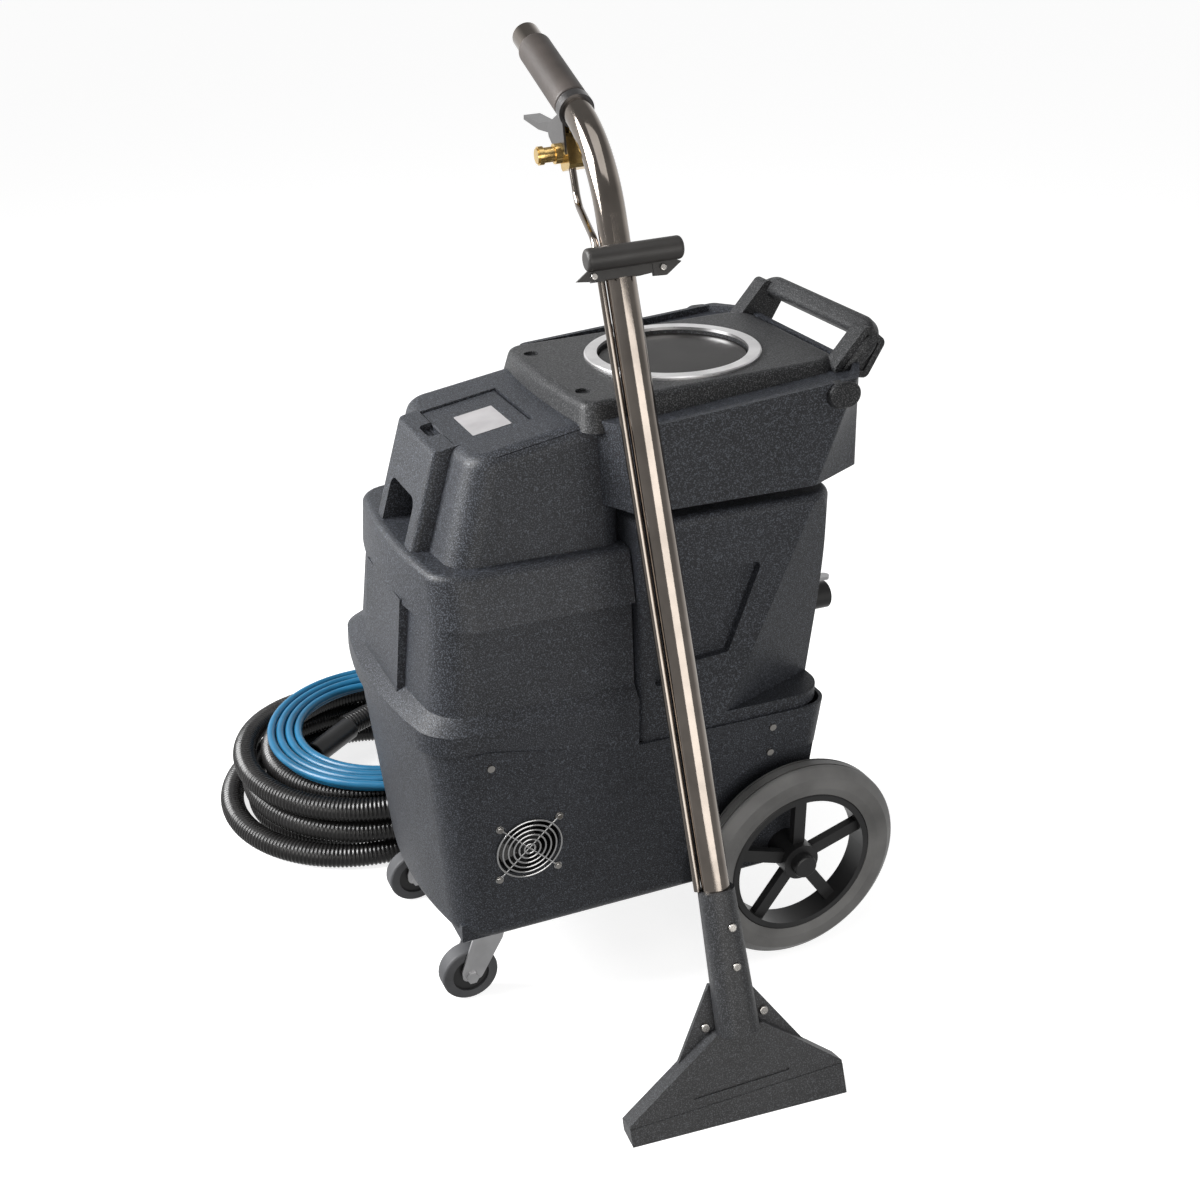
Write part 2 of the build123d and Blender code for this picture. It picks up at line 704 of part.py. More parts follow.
with BuildPart() as handle_bosses:
    for sign in (-1, 1):
        with BuildSketch(Plane.XZ.offset(-sign * (SHROUD_HALF - LIP_W))):
            with Locations((BOSS_X, BOSS_Z)):
                SlotOverall(BOSS_L, BOSS_D)
        extrude(amount=-sign * (BOSS_T + LIP_W))
    fillet(handle_bosses.faces().filter_by(Axis.Y).sort_by(Axis.Y)[0].edges(), BOSS_ROUND)
    fillet(handle_bosses.faces().filter_by(Axis.Y).sort_by(Axis.Y)[-1].edges(), BOSS_ROUND)
    add(tank_a_skin.part, mode=Mode.SUBTRACT)
keep(handle_bosses, "handle_bosses")

# Rear axle and wheels
with BuildPart() as axle:
    with Locations(Location((AXLE_X, 0, AXLE_Z), (90, 0, 0))):
        Cylinder(AXLE_D / 2, 2 * (TRACK_HALF + WHEEL_W / 2 + 2))
keep(axle, "axle")

HUB_IN = WELL_Y + RUN_GAP * 4
HUB_OUT = TRACK_HALF + WHEEL_W / 2 - 6


def wheel_parts(name, sign):
    middle = Plane(origin=(AXLE_X, sign * TRACK_HALF, AXLE_Z), x_dir=(1, 0, 0), z_dir=(0, sign, 0))
    with BuildPart() as tyre:
        with BuildSketch(Plane.XZ) as profile:
            with BuildLine():
                Polyline((RIM_D / 2, -WHEEL_W / 2 + 5), (RIM_D / 2 + 12, -WHEEL_W / 2),
                         (WHEEL_R - 14, -WHEEL_W / 2),
                         (WHEEL_R, -WHEEL_W / 2 + 11), (WHEEL_R, WHEEL_W / 2 - 11), (WHEEL_R - 14, WHEEL_W / 2),
                         (RIM_D / 2 + 12, WHEEL_W / 2), (RIM_D / 2, WHEEL_W / 2 - 5), close=True)
            make_face()
            fillet(profile.vertices().group_by(Axis.X)[-1], 6)
        revolve(axis=Axis.Z)
        with BuildSketch(Plane.XZ):
            with Locations((WHEEL_R + 0.5, -7), (WHEEL_R + 0.5, 7)):
                Rectangle(5, 3)
        revolve(axis=Axis.Z, mode=Mode.SUBTRACT)
    keep(tyre, name + "_tyre", middle.location)

    with BuildPart() as hub:
        with BuildSketch(Plane.XY.offset(-RIM_DEPTH / 2)):
            Circle(RIM_D / 2)
            Circle(RIM_D / 2 - RIM_WALL, mode=Mode.SUBTRACT)
        extrude(amount=RIM_DEPTH)
        with BuildSketch(Plane.XY.offset(HUB_IN - TRACK_HALF)):
            Circle(HUB_D / 2)
        extrude(amount=HUB_OUT - HUB_IN)
        with BuildSketch(Plane.XY.offset(-SPOKE_T / 2)):
            with PolarLocations(HUB_D / 2 - 8, SPOKES, start_angle=90):
                Rectangle(RIM_D / 2 - HUB_D / 2 + 2, SPOKE_W, align=(Align.MIN, Align.CENTER))
        extrude(amount=SPOKE_T)
        with BuildSketch(Plane.XY.offset(-FAR / 2)):
            Circle(AXLE_D / 2 + SHAFT_FIT)
        extrude(amount=FAR, mode=Mode.SUBTRACT)
        rims = hub.edges().filter_by(GeomType.CIRCLE).group_by(SortBy.RADIUS)[-1]
        chamfer(rims, 2)
    keep(hub, name + "_hub", middle.location)

    with BuildPart() as cap:
        with BuildSketch(Plane.XY.offset(HUB_OUT + RUN_GAP - TRACK_HALF)):
            Circle(CAP_D / 2)
        extrude(amount=WHEEL_W / 2 + 2 + CAP_T - (HUB_OUT + RUN_GAP - TRACK_HALF))
        with BuildSketch(Plane.XY):
            Circle(AXLE_D / 2 + SHAFT_FIT)
        extrude(amount=WHEEL_W / 2 + 2, mode=Mode.SUBTRACT)
        fillet(cap.faces().sort_by(Axis.Z)[-1].edges(), 3)
    keep(cap, name + "_axle_cap", middle.location)


wheel_parts("near", -1)
wheel_parts("far", 1)


# Swivel casters, trailing to the front
def caster_parts(name, sign):
    place = Location((CASTER_X, sign * CASTER_Y, 0))
    wheel_z = CASTER_D / 2
    fork_top = BASE_Z - PLATE_T - RUN_GAP
    leg_in = CASTER_W / 2 + 1.5
    leg_out = leg_in + FORK_T
    with BuildPart() as plate:
        with BuildSketch(Plane.XY.offset(BASE_Z - PLATE_T)):
            RectangleRounded(PLATE_L, PLATE_W, 5)
        extrude(amount=PLATE_T)
        with BuildSketch(Plane.XY.offset(BASE_Z - PLATE_T)):
            Circle(KINGPIN_D / 2)
        extrude(amount=-FORK_TOP_T - 3 * RUN_GAP)
        with BuildSketch(Plane.XY.offset(fork_top - FORK_TOP_T - RUN_GAP)):
            Circle(KINGPIN_D)
        extrude(amount=-5)
        with GridLocations(PLATE_L - 18, PLATE_W - 18, 2, 2):
            with Locations((0, 0, BASE_Z - PLATE_T)):
                Cylinder(4.5, 3.5, align=(Align.CENTER, Align.CENTER, Align.MAX))
    keep(plate, name + "_caster_plate", place)

    with BuildPart() as fork:
        with BuildSketch(Plane.XY.offset(fork_top - FORK_TOP_T)):
            Circle(24)
        extrude(amount=FORK_TOP_T)
        for leg in (-1, 1):
            with BuildSketch(Plane.XZ.offset(-leg * leg_in)) as outline:
                with BuildLine():
                    Polyline((-22, fork_top), (22, fork_top), (16, fork_top - 22),
                             (-CASTER_TRAIL + 13, wheel_z - 6),
                             (-CASTER_TRAIL - 13, wheel_z - 6), (-CASTER_TRAIL - 14, wheel_z + 10), close=True)
                make_face()
                fillet(outline.vertices().group_by(Axis.Y)[0], 8)
            extrude(amount=-leg * FORK_T)
        with BuildSketch(Plane.XY.offset(fork_top - FORK_TOP_T)):
            Rectangle(44, 2 * leg_out)
        extrude(amount=FORK_TOP_T)
        with BuildSketch(Plane.XY.offset(BASE_Z)):
            Circle(KINGPIN_D / 2 + SHAFT_FIT)
        extrude(amount=-BASE_Z, mode=Mode.SUBTRACT)
        with Locations(Location((-CASTER_TRAIL, 0, wheel_z), (90, 0, 0))):
            Cylinder(CASTER_PIN_D / 2, 2 * leg_out + 6)
        for leg in (-1, 1):
            with BuildSketch(Plane.XZ.offset(-leg * leg_out)):
                with Locations((-CASTER_TRAIL, wheel_z)):
                    RegularPolygon(CASTER_PIN_D, 6)
            extrude(amount=-leg * 5)
    keep(fork, name + "_caster_fork", place)

    with BuildPart() as core:
        with Locations(Location((-CASTER_TRAIL, 0, wheel_z), (90, 0, 0))):
            Cylinder(CASTER_CORE_D / 2, CASTER_W - 6)
            Cylinder(11, CASTER_W + 2)
            Cylinder(CASTER_PIN_D / 2 + SHAFT_FIT, FAR, mode=Mode.SUBTRACT)
    keep(core, name + "_caster_core", place)

    with BuildPart() as tread:
        with Locations(Location((-CASTER_TRAIL, 0, wheel_z), (90, 0, 0))):
            Cylinder(CASTER_D / 2, CASTER_W)
            Cylinder(CASTER_CORE_D / 2, FAR, mode=Mode.SUBTRACT)
        fillet(tread.edges().filter_by(GeomType.CIRCLE).group_by(SortBy.RADIUS)[-1], 4)
    keep(tread, name + "_caster_tread", place)


caster_parts("near", -1)
caster_parts("far", 1)

# Cooling fan behind a wire guard in the near side wall
FAN_FACE = -BASE_WALL - 2 * RUN_GAP
FAN_BACK = FAN_FACE - FAN_T
with BuildPart() as fan_frame:
    with BuildSketch(Plane.XY.offset(FAN_BACK)) as square:
        RectangleRounded(FAN_SIZE, FAN_SIZE, 5)
        Circle(FAN_BORE / 2, mode=Mode.SUBTRACT)
        with GridLocations(FAN_PITCH, FAN_PITCH, 2, 2):
            Circle(SCREW_D / 2, mode=Mode.SUBTRACT)
    extrude(amount=FAN_T)
    with BuildSketch(Plane.XY.offset(FAN_BACK)):
        Circle(FAN_HUB_D / 2)
        with PolarLocations(0, 4, start_angle=45):
            Rectangle(FAN_BORE / 2 + 3, 5, align=(Align.MIN, Align.CENTER))
    extrude(amount=3)
    with BuildSketch(Plane.XY.offset(FAN_BACK)):
        Circle(FAN_PIN_D / 2)
    extrude(amount=FAN_T - 5)
keep(fan_frame, "fan_frame", fan_wall.location)

with BuildPart() as fan_rotor:
    with BuildSketch(Plane.XY.offset(FAN_BACK + 3 + RUN_GAP)):
        Circle(FAN_HUB_D / 2)
    extrude(amount=FAN_T - 6)
    for index in range(FAN_BLADES):
        turn = 360 / FAN_BLADES * index
        blade = Plane.XY.offset(FAN_BACK + FAN_T / 2 + 1).location * Location((0, 0, 0), (0, 0, turn))
        with Locations(blade * Location((FAN_HUB_D / 2 - 3, 0, 0), (38, 0, 0))):
            Box(FAN_BORE / 2 - FAN_HUB_D / 2, 21, 1.8, align=(Align.MIN, Align.CENTER, Align.CENTER))
    with BuildSketch(Plane.XY.offset(FAN_BACK + 3)):
        Circle(FAN_PIN_D / 2 + SHAFT_FIT)
    extrude(amount=FAN_T - 7, mode=Mode.SUBTRACT)
keep(fan_rotor, "fan_rotor", fan_wall.location)

with BuildPart() as fan_guard:
    ring_z = GUARD_WIRE * 1.5
    for index in range(GUARD_RINGS):
        radius = GUARD_D / 2 * (index + 1) / GUARD_RINGS
        with Locations((0, 0, ring_z)):
            Torus(radius, GUARD_WIRE / 2)
    for turn in (45, 135):
        with Locations(Location((0, 0, GUARD_WIRE * 0.75), (0, 0, turn)) * Location((0, 0, 0), (0, 90, 0))):
            Cylinder(GUARD_WIRE / 2, FAN_PITCH * math.sqrt(2) - 2)
    with BuildSketch():
        with GridLocations(FAN_PITCH, FAN_PITCH, 2, 2):
            Circle(5.5)
            Circle(SCREW_D / 2, mode=Mode.SUBTRACT)
    extrude(amount=GUARD_WIRE)
    with BuildSketch():
        with GridLocations(FAN_PITCH, FAN_PITCH, 2, 2):
            Circle(SCREW_D / 2 + SHAFT_FIT)
    extrude(amount=GUARD_WIRE * 2, mode=Mode.SUBTRACT)
    with BuildSketch(Plane.XY.offset(GUARD_WIRE)):
        with GridLocations(FAN_PITCH, FAN_PITCH, 2, 2):
            Circle(SCREW_HEAD_D / 2 + SHAFT_FIT)
    extrude(amount=SCREW_HEAD_T, mode=Mode.SUBTRACT)
    with BuildSketch(Plane.XY.offset(-GUARD_WIRE)):
        Rectangle(2 * FAN_SIZE, 2 * FAN_SIZE)
    extrude(amount=GUARD_WIRE, mode=Mode.SUBTRACT)
keep(fan_guard, "fan_guard", fan_wall.location)

with BuildPart() as guard_screws:
    with BuildSketch(Plane.XY.offset(GUARD_WIRE)):
        with GridLocations(FAN_PITCH, FAN_PITCH, 2, 2):
            Circle(SCREW_HEAD_D / 2)
    extrude(amount=SCREW_HEAD_T)
    heads = guard_screws.edges().filter_by(GeomType.CIRCLE).group_by(Axis.Z)[-1]
    fillet(heads, 1.2)
    with BuildSketch(Plane.XY.offset(GUARD_WIRE)):
        with GridLocations(FAN_PITCH, FAN_PITCH, 2, 2):
            Circle(SCREW_D / 2)
    extrude(amount=-GUARD_WIRE)
keep(guard_screws, "guard_screws", fan_wall.location)

# Side screws of the base and the rear pair under the solution tank
SCREW_SPOTS = [(-150, 407), (256, 370), (256, 329)]
with BuildPart() as housing_screws:
    for sign in (-1, 1):
        for x, z in SCREW_SPOTS:
            with Locations(base_wall(x, z, sign).location):
                Cylinder(SCREW_HEAD_D / 2 + 0.5, SCREW_HEAD_T, align=(Align.CENTER, Align.CENTER, Align.MIN))
                Cylinder(2, 1.2, mode=Mode.SUBTRACT)
keep(housing_screws, "housing_screws")

# Works inside the base: two vacuum motors and the solution pump
FLOOR_Z = BASE_Z + BASE_WALL


def motor(name, x, y):
    with BuildPart() as body:
        with Locations((x, y, FLOOR_Z)):
            Cylinder(MOTOR_D / 2, MOTOR_H * 0.5, align=(Align.CENTER, Align.CENTER, Align.MIN))
        with Locations((x, y, FLOOR_Z + MOTOR_H * 0.5)):
            Cylinder(MOTOR_D * 0.34, MOTOR_H * 0.4, align=(Align.CENTER, Align.CENTER, Align.MIN))
        with Locations((x, y, FLOOR_Z + MOTOR_H * 0.9)):
            Cylinder(MOTOR_D * 0.2, MOTOR_H * 0.1, align=(Align.CENTER, Align.CENTER, Align.MIN))
        fillet(body.faces().filter_by(Axis.Z).sort_by(Axis.Z)[-1].edges(), 6)
    keep(body, name)


motor("front_vacuum_motor", -40, 40)
motor("rear_vacuum_motor", 140, 40)

with BuildPart() as solution_pump:
    with Locations((50, -100, FLOOR_Z)):
        Box(PUMP_L, PUMP_D * 0.8, 8, align=(Align.CENTER, Align.CENTER, Align.MIN))
    with Locations(Location((50, -100, FLOOR_Z + 6 + PUMP_D / 2), (0, 90, 0))):
        Cylinder(PUMP_D / 2, PUMP_L)
    with Locations((50 + PUMP_L / 2, -100, FLOOR_Z + 6 + PUMP_D / 2)):
        Box(40, PUMP_D * 0.7, PUMP_D * 0.7, align=(Align.MIN, Align.CENTER, Align.CENTER))
keep(solution_pump, "solution_pump")

# Float shut-off on the floor of the top
CAGE_X = 300.0
CAGE_Z = SHROUD_Z + TANK_WALL
with BuildPart() as float_cage:
    with Locations((CAGE_X, 0, CAGE_Z)):
        Cylinder(CAGE_D / 2, CAGE_H, align=(Align.CENTER, Align.CENTER, Align.MIN))
        Cylinder(CAGE_D / 2 - CAGE_WALL, CAGE_H - CAGE_WALL, align=(Align.CENTER, Align.CENTER, Align.MIN),
                 mode=Mode.SUBTRACT)
    for index in range(6):
        with Locations(Location((CAGE_X, 0, CAGE_Z + CAGE_H / 2), (0, 0, 60 * index))):
            Box(CAGE_D, 12, CAGE_H - 26, align=(Align.MIN, Align.CENTER, Align.CENTER), mode=Mode.SUBTRACT)
keep(float_cage, "float_cage")

with BuildPart() as float_ball:
    with Locations((CAGE_X, 0, CAGE_Z + FLOAT_D / 2 + SEAT_GAP)):
        Sphere(FLOAT_D / 2)
keep(float_ball, "float_ball")

# Rear panel with its switches and power inlets
REAR = TANK_B_REAR
SWITCH_Z = PANEL_Z + SWITCH_RISE
INLET_Z = PANEL_Z - INLET_DROP
rear_face = Plane(origin=(REAR, 0, 0), x_dir=(0, 1, 0), z_dir=(1, 0, 0))
with BuildPart() as control_panel:
    with BuildSketch(rear_face):
        with Locations((0, PANEL_Z)):
            RectangleRounded(PANEL_W, PANEL_H, 8)
        with Locations((-SWITCH_PITCH, SWITCH_Z), (0, SWITCH_Z), (SWITCH_PITCH, SWITCH_Z)):
            Rectangle(SWITCH_W + 0.8, SWITCH_H + 4, mode=Mode.SUBTRACT)
    extrude(amount=PANEL_T)
keep(control_panel, "control_panel")


def rocker(name, y):
    with BuildPart() as switch:
        with BuildSketch(Plane.XZ.offset(-y)):
            with BuildLine():
                Polyline((REAR + 0.8, SWITCH_Z), (REAR + 3.5, SWITCH_Z + SWITCH_H / 2),
                         (REAR + 9, SWITCH_Z + SWITCH_H / 2), (REAR + 7, SWITCH_Z),
                         (REAR + 9, SWITCH_Z - SWITCH_H / 2), (REAR + 3.5, SWITCH_Z - SWITCH_H / 2), close=True)
            make_face()
            with Locations((REAR + 3, SWITCH_Z)):
                Circle(2.5)
        extrude(amount=SWITCH_W / 2, both=True)
    keep(switch, name)


rocker("near_switch", -SWITCH_PITCH)
rocker("middle_switch", 0)
rocker("far_switch", SWITCH_PITCH)

with BuildPart() as power_inlets:
    with BuildSketch(rear_face.offset(PANEL_T)):
        with Locations((-INLET_PITCH / 2, INLET_Z), (INLET_PITCH / 2, INLET_Z)):
            Circle(INLET_D / 2)
    extrude(amount=16)
    with BuildSketch(rear_face.offset(PANEL_T + 4)):
        with Locations((-INLET_PITCH / 2, INLET_Z), (INLET_PITCH / 2, INLET_Z)):
            Circle(INLET_D / 2 - 3)
    extrude(amount=14, mode=Mode.SUBTRACT)
    with BuildSketch(rear_face.offset(PANEL_T + 4)):
        for side_y in (-INLET_PITCH / 2, INLET_PITCH / 2):
            with Locations((side_y - 6, INLET_Z + 3), (side_y + 6, INLET_Z + 3)):
                Rectangle(1.6, 7)
            with Locations((side_y, INLET_Z - 7)):
                Circle(2.4)
    extrude(amount=9)
keep(power_inlets, "power_inlets")

# Hose ports and drain on the solution tank's rear
vac_port = Plane(origin=(REAR, -VAC_PORT_Y, PORT_Z), x_dir=(0, 1, 0), z_dir=(1, 0, 0))
with BuildPart() as vacuum_inlet:
    with BuildSketch(vac_port):
        Circle(VAC_PORT_D / 2 + 12)
    extrude(amount=5)
    with BuildSketch(vac_port.offset(5)):
        Circle(VAC_PORT_D / 2)
    extrude(amount=VAC_PORT_L)
    with BuildSketch(vac_port.offset(3)):
        Circle(VAC_PORT_D / 2 - 2.5)
    extrude(amount=VAC_PORT_L + 10, mode=Mode.SUBTRACT)
    chamfer(vacuum_inlet.edges().filter_by(GeomType.CIRCLE).sort_by(Axis.X)[-2:].sort_by(SortBy.RADIUS)[-1], 1)
keep(vacuum_inlet, "vacuum_inlet")

coupler_port = Plane(origin=(REAR, VAC_PORT_Y, PORT_Z), x_dir=(0, 1, 0), z_dir=(1, 0, 0))
COUPLER_D = 15.0
with BuildPart() as solution_coupler:
    with BuildSketch(coupler_port):
        RegularPolygon(14, 6)
    extrude(amount=10)
    with BuildSketch(coupler_port.offset(10)):
        Circle(COUPLER_D / 2)
    extrude(amount=24)
    with BuildSketch(coupler_port.offset(22)):
        Circle(COUPLER_D / 2 + 2)
        Circle(COUPLER_D / 2 - 2, mode=Mode.SUBTRACT)
    extrude(amount=5)
    with BuildSketch(coupler_port.offset(12)):
        Circle(4)
    extrude(amount=40, mode=Mode.SUBTRACT)
keep(solution_coupler, "solution_coupler")

drain_port = Plane(origin=(REAR, 0, DRAIN_Z), x_dir=(0, 1, 0), z_dir=(1, 0, 0))
STEM_X = REAR + DRAIN_L / 2
STEM_D = 10.0
STEM_Z = DRAIN_Z + DRAIN_D / 2 + 6
HANDLE_T = 5.0
with BuildPart() as drain_valve:
    with BuildSketch(drain_port):
        Circle(DRAIN_D / 2 + 9)
    extrude(amount=5)
    with BuildSketch(drain_port):
        Circle(DRAIN_D / 2)
    extrude(amount=DRAIN_L)
    with Locations((STEM_X, 0, DRAIN_Z)):
        Cylinder(9, STEM_Z - DRAIN_Z, align=(Align.CENTER, Align.CENTER, Align.MIN))
        Cylinder(STEM_D / 2, STEM_Z - DRAIN_Z + HANDLE_T + RUN_GAP + 2,
                 align=(Align.CENTER, Align.CENTER, Align.MIN))
    with BuildSketch(drain_port.offset(DRAIN_L / 2 + 14)):
        Circle(DRAIN_D / 2 - 4)
    extrude(amount=DRAIN_L, mode=Mode.SUBTRACT)
keep(drain_valve, "drain_valve")

with BuildPart() as drain_handle:
    with BuildSketch(Plane.XY.offset(STEM_Z + RUN_GAP)) as lever:
        with Locations((STEM_X, 0)):
            Circle(12)
        with Locations((STEM_X, 0)):
            SlotOverall(86, 16, align=(Align.MIN, Align.CENTER))
        with Locations((STEM_X, 0)):
            Circle(STEM_D / 2 + SHAFT_FIT, mode=Mode.SUBTRACT)
    extrude(amount=HANDLE_T)
keep(drain_handle, "drain_handle")

# Wand: modelled upright about its tube, then leaned against the top's near edge
wand = Plane(origin=WAND_FOOT, x_dir=WAND_LIP, z_dir=WAND_AXIS)
WAND_PLACE = wand.location
BEND = math.radians(BEND_DEG)
GRIP_DIR = (0, math.sin(BEND), math.cos(BEND))
TUBE_Z = SOCKET_Z + 24


def along_grip(distance):
    return (0, GRIP_DIR[1] * distance, BEND_AT + GRIP_DIR[2] * distance)


def tube_run(radius):
    """A round bar of the given radius along the whole of the wand's tube."""
    with BuildPart() as bar:
        with BuildLine():
            FilletPolyline((0, 0, TUBE_Z), (0, 0, BEND_AT), along_grip(GRIP_RUN), radius=BEND_R)
        with BuildSketch(Plane.XY.offset(TUBE_Z)):
            Circle(radius)
        sweep()
    return bar.part


grip_plane = Plane(origin=along_grip(GRIP_RUN - SLEEVE_TIP), x_dir=(1, 0, 0), z_dir=GRIP_DIR)
with BuildPart() as wand_tube:
    add(tube_run(TUBE_D / 2))
    add(tube_run(TUBE_D / 2 - TUBE_WALL), mode=Mode.SUBTRACT)
    with BuildSketch(grip_plane):
        Circle(TUBE_D)
        Circle(TIP_D / 2, mode=Mode.SUBTRACT)
    extrude(amount=2 * SLEEVE_TIP, mode=Mode.SUBTRACT)
keep(wand_tube, "wand_tube", WAND_PLACE)

with BuildPart() as wand_grip:
    with BuildSketch(grip_plane):
        Circle(SLEEVE_D / 2)
    extrude(amount=-SLEEVE_L)
    fillet(wand_grip.edges().filter_by(GeomType.CIRCLE), 3)
    with BuildSketch(grip_plane.offset(10)):
        Circle(TUBE_D / 2 + SHAFT_FIT)
    extrude(amount=-SLEEVE_L - 20, mode=Mode.SUBTRACT)
keep(wand_grip, "wand_grip", WAND_PLACE)

# Wand head: socket, tapering plate and lip, cut level with the floor
NECK_SPOT = 22.0
NECK_SCREW_D = 11.0
NECK_SCREWS = [(5, 254), (3, 203)]
with BuildPart() as under_floor:
    with Locations((0, 0, FLOOR_GAP)):
        Box(2 * FAR, 2 * FAR, FAR, align=(Align.CENTER, Align.CENTER, Align.MAX))

with BuildPart() as wand_head:
    with BuildSketch(Plane.XY.offset(SOCKET_Z)):
        RectangleRounded(NECK_W, NECK_T, 20)
    with BuildSketch(Plane.XY.offset(SOCKET_Z + SOCKET_L)):
        RectangleRounded(SOCKET_D, SOCKET_D, 20)
    loft()
    with BuildSketch(Plane.XZ.offset(-HEAD_Y)) as blade:
        with BuildLine():
            Polyline((HEAD_X - HEAD_W / 2, -40), (HEAD_X - HEAD_W / 2, 34), (-NECK_W / 2 - 4, SOCKET_Z + 4),
                     (NECK_W / 2 + 4, SOCKET_Z + 4), (HEAD_X + HEAD_W / 2, 34), (HEAD_X + HEAD_W / 2, -40),
                     close=True)
        make_face()
    extrude(amount=HEAD_T / 2, both=True)
    with BuildSketch(Plane.XZ.offset(-HEAD_Y)) as foot:
        with Locations((HEAD_X, LIP_H)):
            Rectangle(HEAD_W, 80, align=(Align.CENTER, Align.MAX))
    extrude(amount=LIP_T / 2, both=True)
    with BuildSketch(Plane.XZ.offset(-HEAD_Y - 6)) as ears:
        with BuildLine():
            Polyline((-108, 42), (-25, 175), (32, 157), (106, 42), close=True)
        make_face()
        fillet(ears.vertices().group_by(Axis.Y)[0], 4)
    extrude(amount=-6)
    with BuildSketch(Plane.XZ.offset(HEAD_T / 2 - HEAD_Y)):
        with Locations((HEAD_X + 7, 45)):
            SlotOverall(132, 4)
    extrude(amount=-2, mode=Mode.SUBTRACT)
    with BuildSketch(Plane.XZ.offset(NECK_SPOT)):
        with Locations(*NECK_SCREWS):
            Circle(NECK_SCREW_D / 2 + SEAT_GAP)
    extrude(amount=NECK_T, mode=Mode.SUBTRACT)
    with BuildSketch(Plane.XY.offset(TUBE_Z)):
        Circle(TUBE_D / 2 + SHAFT_FIT)
    extrude(amount=SOCKET_L, mode=Mode.SUBTRACT)
    add(under_floor.part.moved(WAND_PLACE.inverse()), mode=Mode.SUBTRACT)
keep(wand_head, "wand_head", WAND_PLACE)

BOLT_D = 12.0
HEAD_BOLTS = [(-39, 122), (41, 122)]
EAR_FRONT = HEAD_Y + 6
with BuildPart() as head_bolts:
    with BuildSketch(Plane.XZ.offset(-EAR_FRONT)):
        with Locations(*HEAD_BOLTS):
            Circle(BOLT_D / 2)
    extrude(amount=5)
    with BuildSketch(Plane.XZ.offset(NECK_SPOT)):
        with Locations(*NECK_SCREWS):
            Circle(NECK_SCREW_D / 2)
    extrude(amount=4)
    rims = head_bolts.edges().filter_by(GeomType.CIRCLE).group_by(Axis.Y)
    fillet([*rims[0], *rims[-2]], 1.5)
keep(head_bolts, "head_bolts", WAND_PLACE)

with BuildPart() as spray_jets:
    with BuildSketch(Plane.XZ.offset(-HEAD_Y - HEAD_T / 2)):
        with Locations((HEAD_X, 58)):
            Rectangle(HEAD_W * 0.5, 12)
    extrude(amount=-10)
    with BuildSketch(Plane.XY.offset(54)):
        with Locations((HEAD_X - 55, HEAD_Y + HEAD_T / 2 + 5), (HEAD_X + 55, HEAD_Y + HEAD_T / 2 + 5)):
            Circle(4)
    extrude(amount=-14)
keep(spray_jets, "spray_jets", WAND_PLACE)

# Spray line: from the valve down the near side of the tube
LINE_X = -TUBE_D / 2 - SPRAY_D / 2 - SEAT_GAP
LINE_Y = 4.0
VALVE_H = 40.0
VALVE_W = 30.0
with BuildPart() as spray_tube:
    with BuildLine() as line:
        FilletPolyline((LINE_X, LINE_Y, SOCKET_Z + SOCKET_L + 1), (LINE_X, LINE_Y, CLAMP_Z + 30),
                       (-8, VALVE_Y - 4, VALVE_Z - 62),
                       (-8, VALVE_Y - 4, VALVE_Z - VALVE_H / 2), radius=26)
    with BuildSketch(Plane.XY.offset(SOCKET_Z + SOCKET_L + 1)):
        with Locations((LINE_X, LINE_Y)):
            Circle(SPRAY_D / 2)
    sweep()
keep(spray_tube, "spray_tube", WAND_PLACE)

# Valve under the bend, with a strap to the tube, an inlet to the near side and a finger lever
valve_strap = Plane(origin=along_grip(STRAP_AT), x_dir=(1, 0, 0), z_dir=GRIP_DIR)
TRIGGER_PIN_D = 6.0
TRIGGER_Y = VALVE_Y + 30
TRIGGER_Z = VALVE_Z + 34
with BuildPart() as valve_body:
    with Locations((0, VALVE_Y, VALVE_Z)):
        Box(VALVE_W, 34, VALVE_H)
    chamfer(valve_body.edges().filter_by(Axis.X), 4)
    with Locations(Location((-VALVE_W / 2, VALVE_Y, VALVE_Z), (0, -90, 0))):
        Cylinder(12, 12, align=(Align.CENTER, Align.CENTER, Align.MIN))
        Cylinder(9, 34, align=(Align.CENTER, Align.CENTER, Align.MIN))
    with Locations(Location((-VALVE_W / 2 - 26, VALVE_Y, VALVE_Z), (0, -90, 0))):
        Cylinder(11, 6, align=(Align.CENTER, Align.CENTER, Align.MIN))
    with Locations((0, VALVE_Y + 8, VALVE_Z + VALVE_H / 2)):
        Cylinder(6, 16, align=(Align.CENTER, Align.CENTER, Align.MIN))
keep(valve_body, "valve_body", WAND_PLACE)

